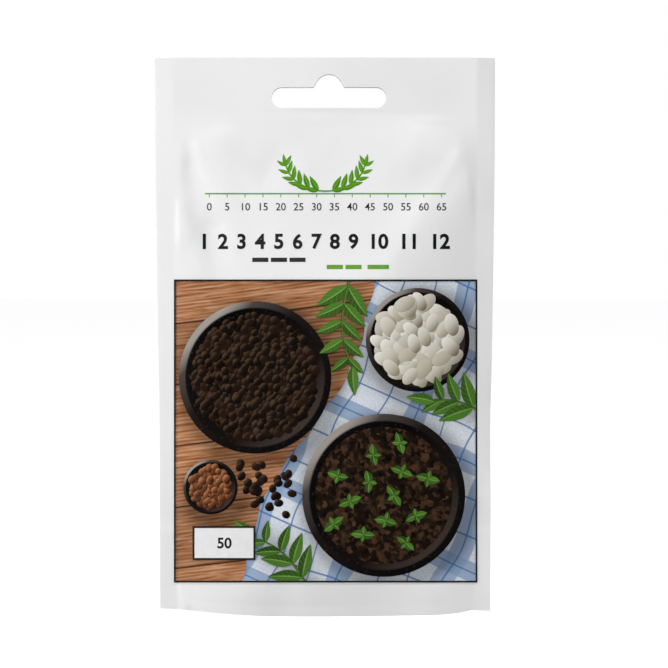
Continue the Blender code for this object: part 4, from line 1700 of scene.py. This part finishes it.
world = bpy.data.worlds.new("white_room")
bpy.context.scene.world = world
world.use_nodes = True
room = world.node_tree
way = add_node(room, "TexCoord", {}).outputs["Generated"]
level = add_node(room, "SeparateXYZ", {0: way}).outputs["Z"]
levels = {0: level, 1: -LEVEL_BLEND, 2: LEVEL_BLEND, 3: GROUND_LIGHT, 4: SKY_LIGHT}
light = add_node(room, "MapRange", levels, interpolation_type="SMOOTHSTEP")
seen = add_node(room, "LightPath", {}).outputs["Is Camera Ray"]
strength = add_node(room, "Mix", {0: seen, 2: light, 3: WALL_SEEN}, data_type="FLOAT")
feed(room, room.nodes["Background"], {"Color": (1, 1, 1, 1), "Strength": strength})
print("room light:", SKY_LIGHT, "from above,", GROUND_LIGHT, "from below")

# %% [markdown]
# ## The lamps
# Lamps for product photos are softboxes: large, so that shadows are soft and the film's sheen is broad. Spot
# or sun lamps would make hard edges at every fold. Most light comes from high up and from the left, and less
# from the front. A weak lamp on the right keeps that side from going grey, a very small one lights the lower
# right corner, and one behind lights the back.

# %% Set up the softboxes
PACKET_MIDDLE = (0, 0, HEIGHT / 2)
# place, what it points at, size in metres, and power in watts
SOFTBOXES = {
    "front_softbox": ((-0.20, -0.86, 0.22), PACKET_MIDDLE, (0.5, 0.36), 1.82),
    "high_softbox": ((0.12, -0.53, 0.80), PACKET_MIDDLE, (0.4, 0.36), 3.95),
    "left_softbox": ((-0.86, -0.22, 0.20), PACKET_MIDDLE, (0.4, 0.36), 3.6),
    "right_softbox": ((0.89, -0.08, 0.20), PACKET_MIDDLE, (0.4, 0.36), 0.55),
    "corner_softbox": ((0.125, -0.095, 0.010), (0.040, 0, 0.007), (0.06, 0.03), 0.0125),
    "rear_softbox": ((0.30, 0.86, 0.42), PACKET_MIDDLE, (0.5, 0.4), 3.4),
}


def add_softbox(name, place, target, size, power):
    """A soft area light at place, turned to target."""
    light = bpy.data.lights.new(name, "AREA")
    light.shape = "RECTANGLE"
    light.size, light.size_y = size
    light.energy = power
    lamp = bpy.data.objects.new(name, light)
    bpy.context.scene.collection.objects.link(lamp)
    lamp.location = place
    lamp.rotation_euler = (Vector(place) - Vector(target)).to_track_quat("Z", "Y").to_euler()
    lamp.visible_camera = False


for name, (place, target, size, power) in SOFTBOXES.items():
    add_softbox(name, place, target, size, power)
bpy.context.scene.view_settings.view_transform = "Standard"
print(len(SOFTBOXES), "softboxes")

# %% [markdown]
# ## The seeds inside
# The seeds can't be seen while the packet is closed, but someone may open a copy of it, so their heap gets a
# finish too. The solid's shape is right, so it stays and gets a new material. A Voronoi texture splits it
# into cells of about the size of a seed, 3 mm: the cell's own colour sets the seed's tone, and the distance
# to its edge rounds it and turns the colour dark brown near the edge, which is painted shade in the crevices
# between seeds. Noise adds the fine pits of a dry skin.

# %% Finish the seeds
SEED_SIZE = 3.0                          # millimetres
TONE_SHARE = 0.6
PIT_SHARE = 0.4
SEED_ROUNDING = 0.8 * MM
PIT_DEPTH = 0.1 * MM


def make_seed_heap():
    """Small round seeds, dull brown, heaped."""
    material, tree, shader = start_material("dry_brown_seeds")
    point = object_point(tree)
    cells = {"Vector": point, "Scale": 1 / SEED_SIZE}
    tones = add_node(tree, "TexVoronoi", cells).outputs["Color"]
    tone = add_node(tree, "SeparateXYZ", {0: tones}).outputs[0]
    edge = add_node(tree, "TexVoronoi", cells, feature="DISTANCE_TO_EDGE")
    pits = add_node(tree, "TexNoise", {"Vector": point, "Scale": 2.5, "Detail": 3.0})
    pitted = add_node(tree, "Math", {0: pits, 1: PIT_SHARE}, operation="MULTIPLY")
    level = add_node(tree, "Math", {0: tone, 1: TONE_SHARE, 2: pitted}, operation="MULTIPLY_ADD")
    brown = add_node(tree, "ValToRGB", {"Fac": level}, [
        (0.2, "#5a3822"), (0.5, "#84583a"), (0.8, "#a87a55"),
    ])
    # Near a cell's edge the colour turns dark brown: painted shade in the crevices between the seeds.
    levels = {0: edge, 1: 0.0, 2: 0.18, 3: 0.85, 4: 0.0}
    gap = add_node(tree, "MapRange", levels, interpolation_type="SMOOTHSTEP")
    colour = add_node(tree, "Mix", {0: gap, 6: brown, 7: linear("#1f130c")}, data_type="RGBA")
    height = add_node(tree, "MapRange", {0: edge, 1: 0.0, 2: 0.35}, interpolation_type="SMOOTHSTEP")
    rounded = add_node(tree, "Bump", {"Height": height, "Strength": 1.0, "Distance": SEED_ROUNDING})
    pitting = {"Height": pits, "Strength": 0.4, "Distance": PIT_DEPTH, "Normal": rounded}
    fine = add_node(tree, "Bump", pitting)
    feed(tree, shader, {"Base Color": colour, "Roughness": 0.62, "Normal": fine})
    return material


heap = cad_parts["seeds"]
heap.data.materials.clear()
heap.data.materials.append(make_seed_heap())

x, y, z = read_points(heap).T
s = along_film(x, z)
wall_front = lean(s, z) - stand(s, z, FRONT_FOLDS) + FILM / 2
wall_back = lean(s, z) + stand(s, z, BACK_FOLDS) - FILM / 2
clearance = min((y - wall_front).min(), (wall_back - y).min())
print("seeds clear of the faces by, mm:", round(float(clearance) / MM, 2))
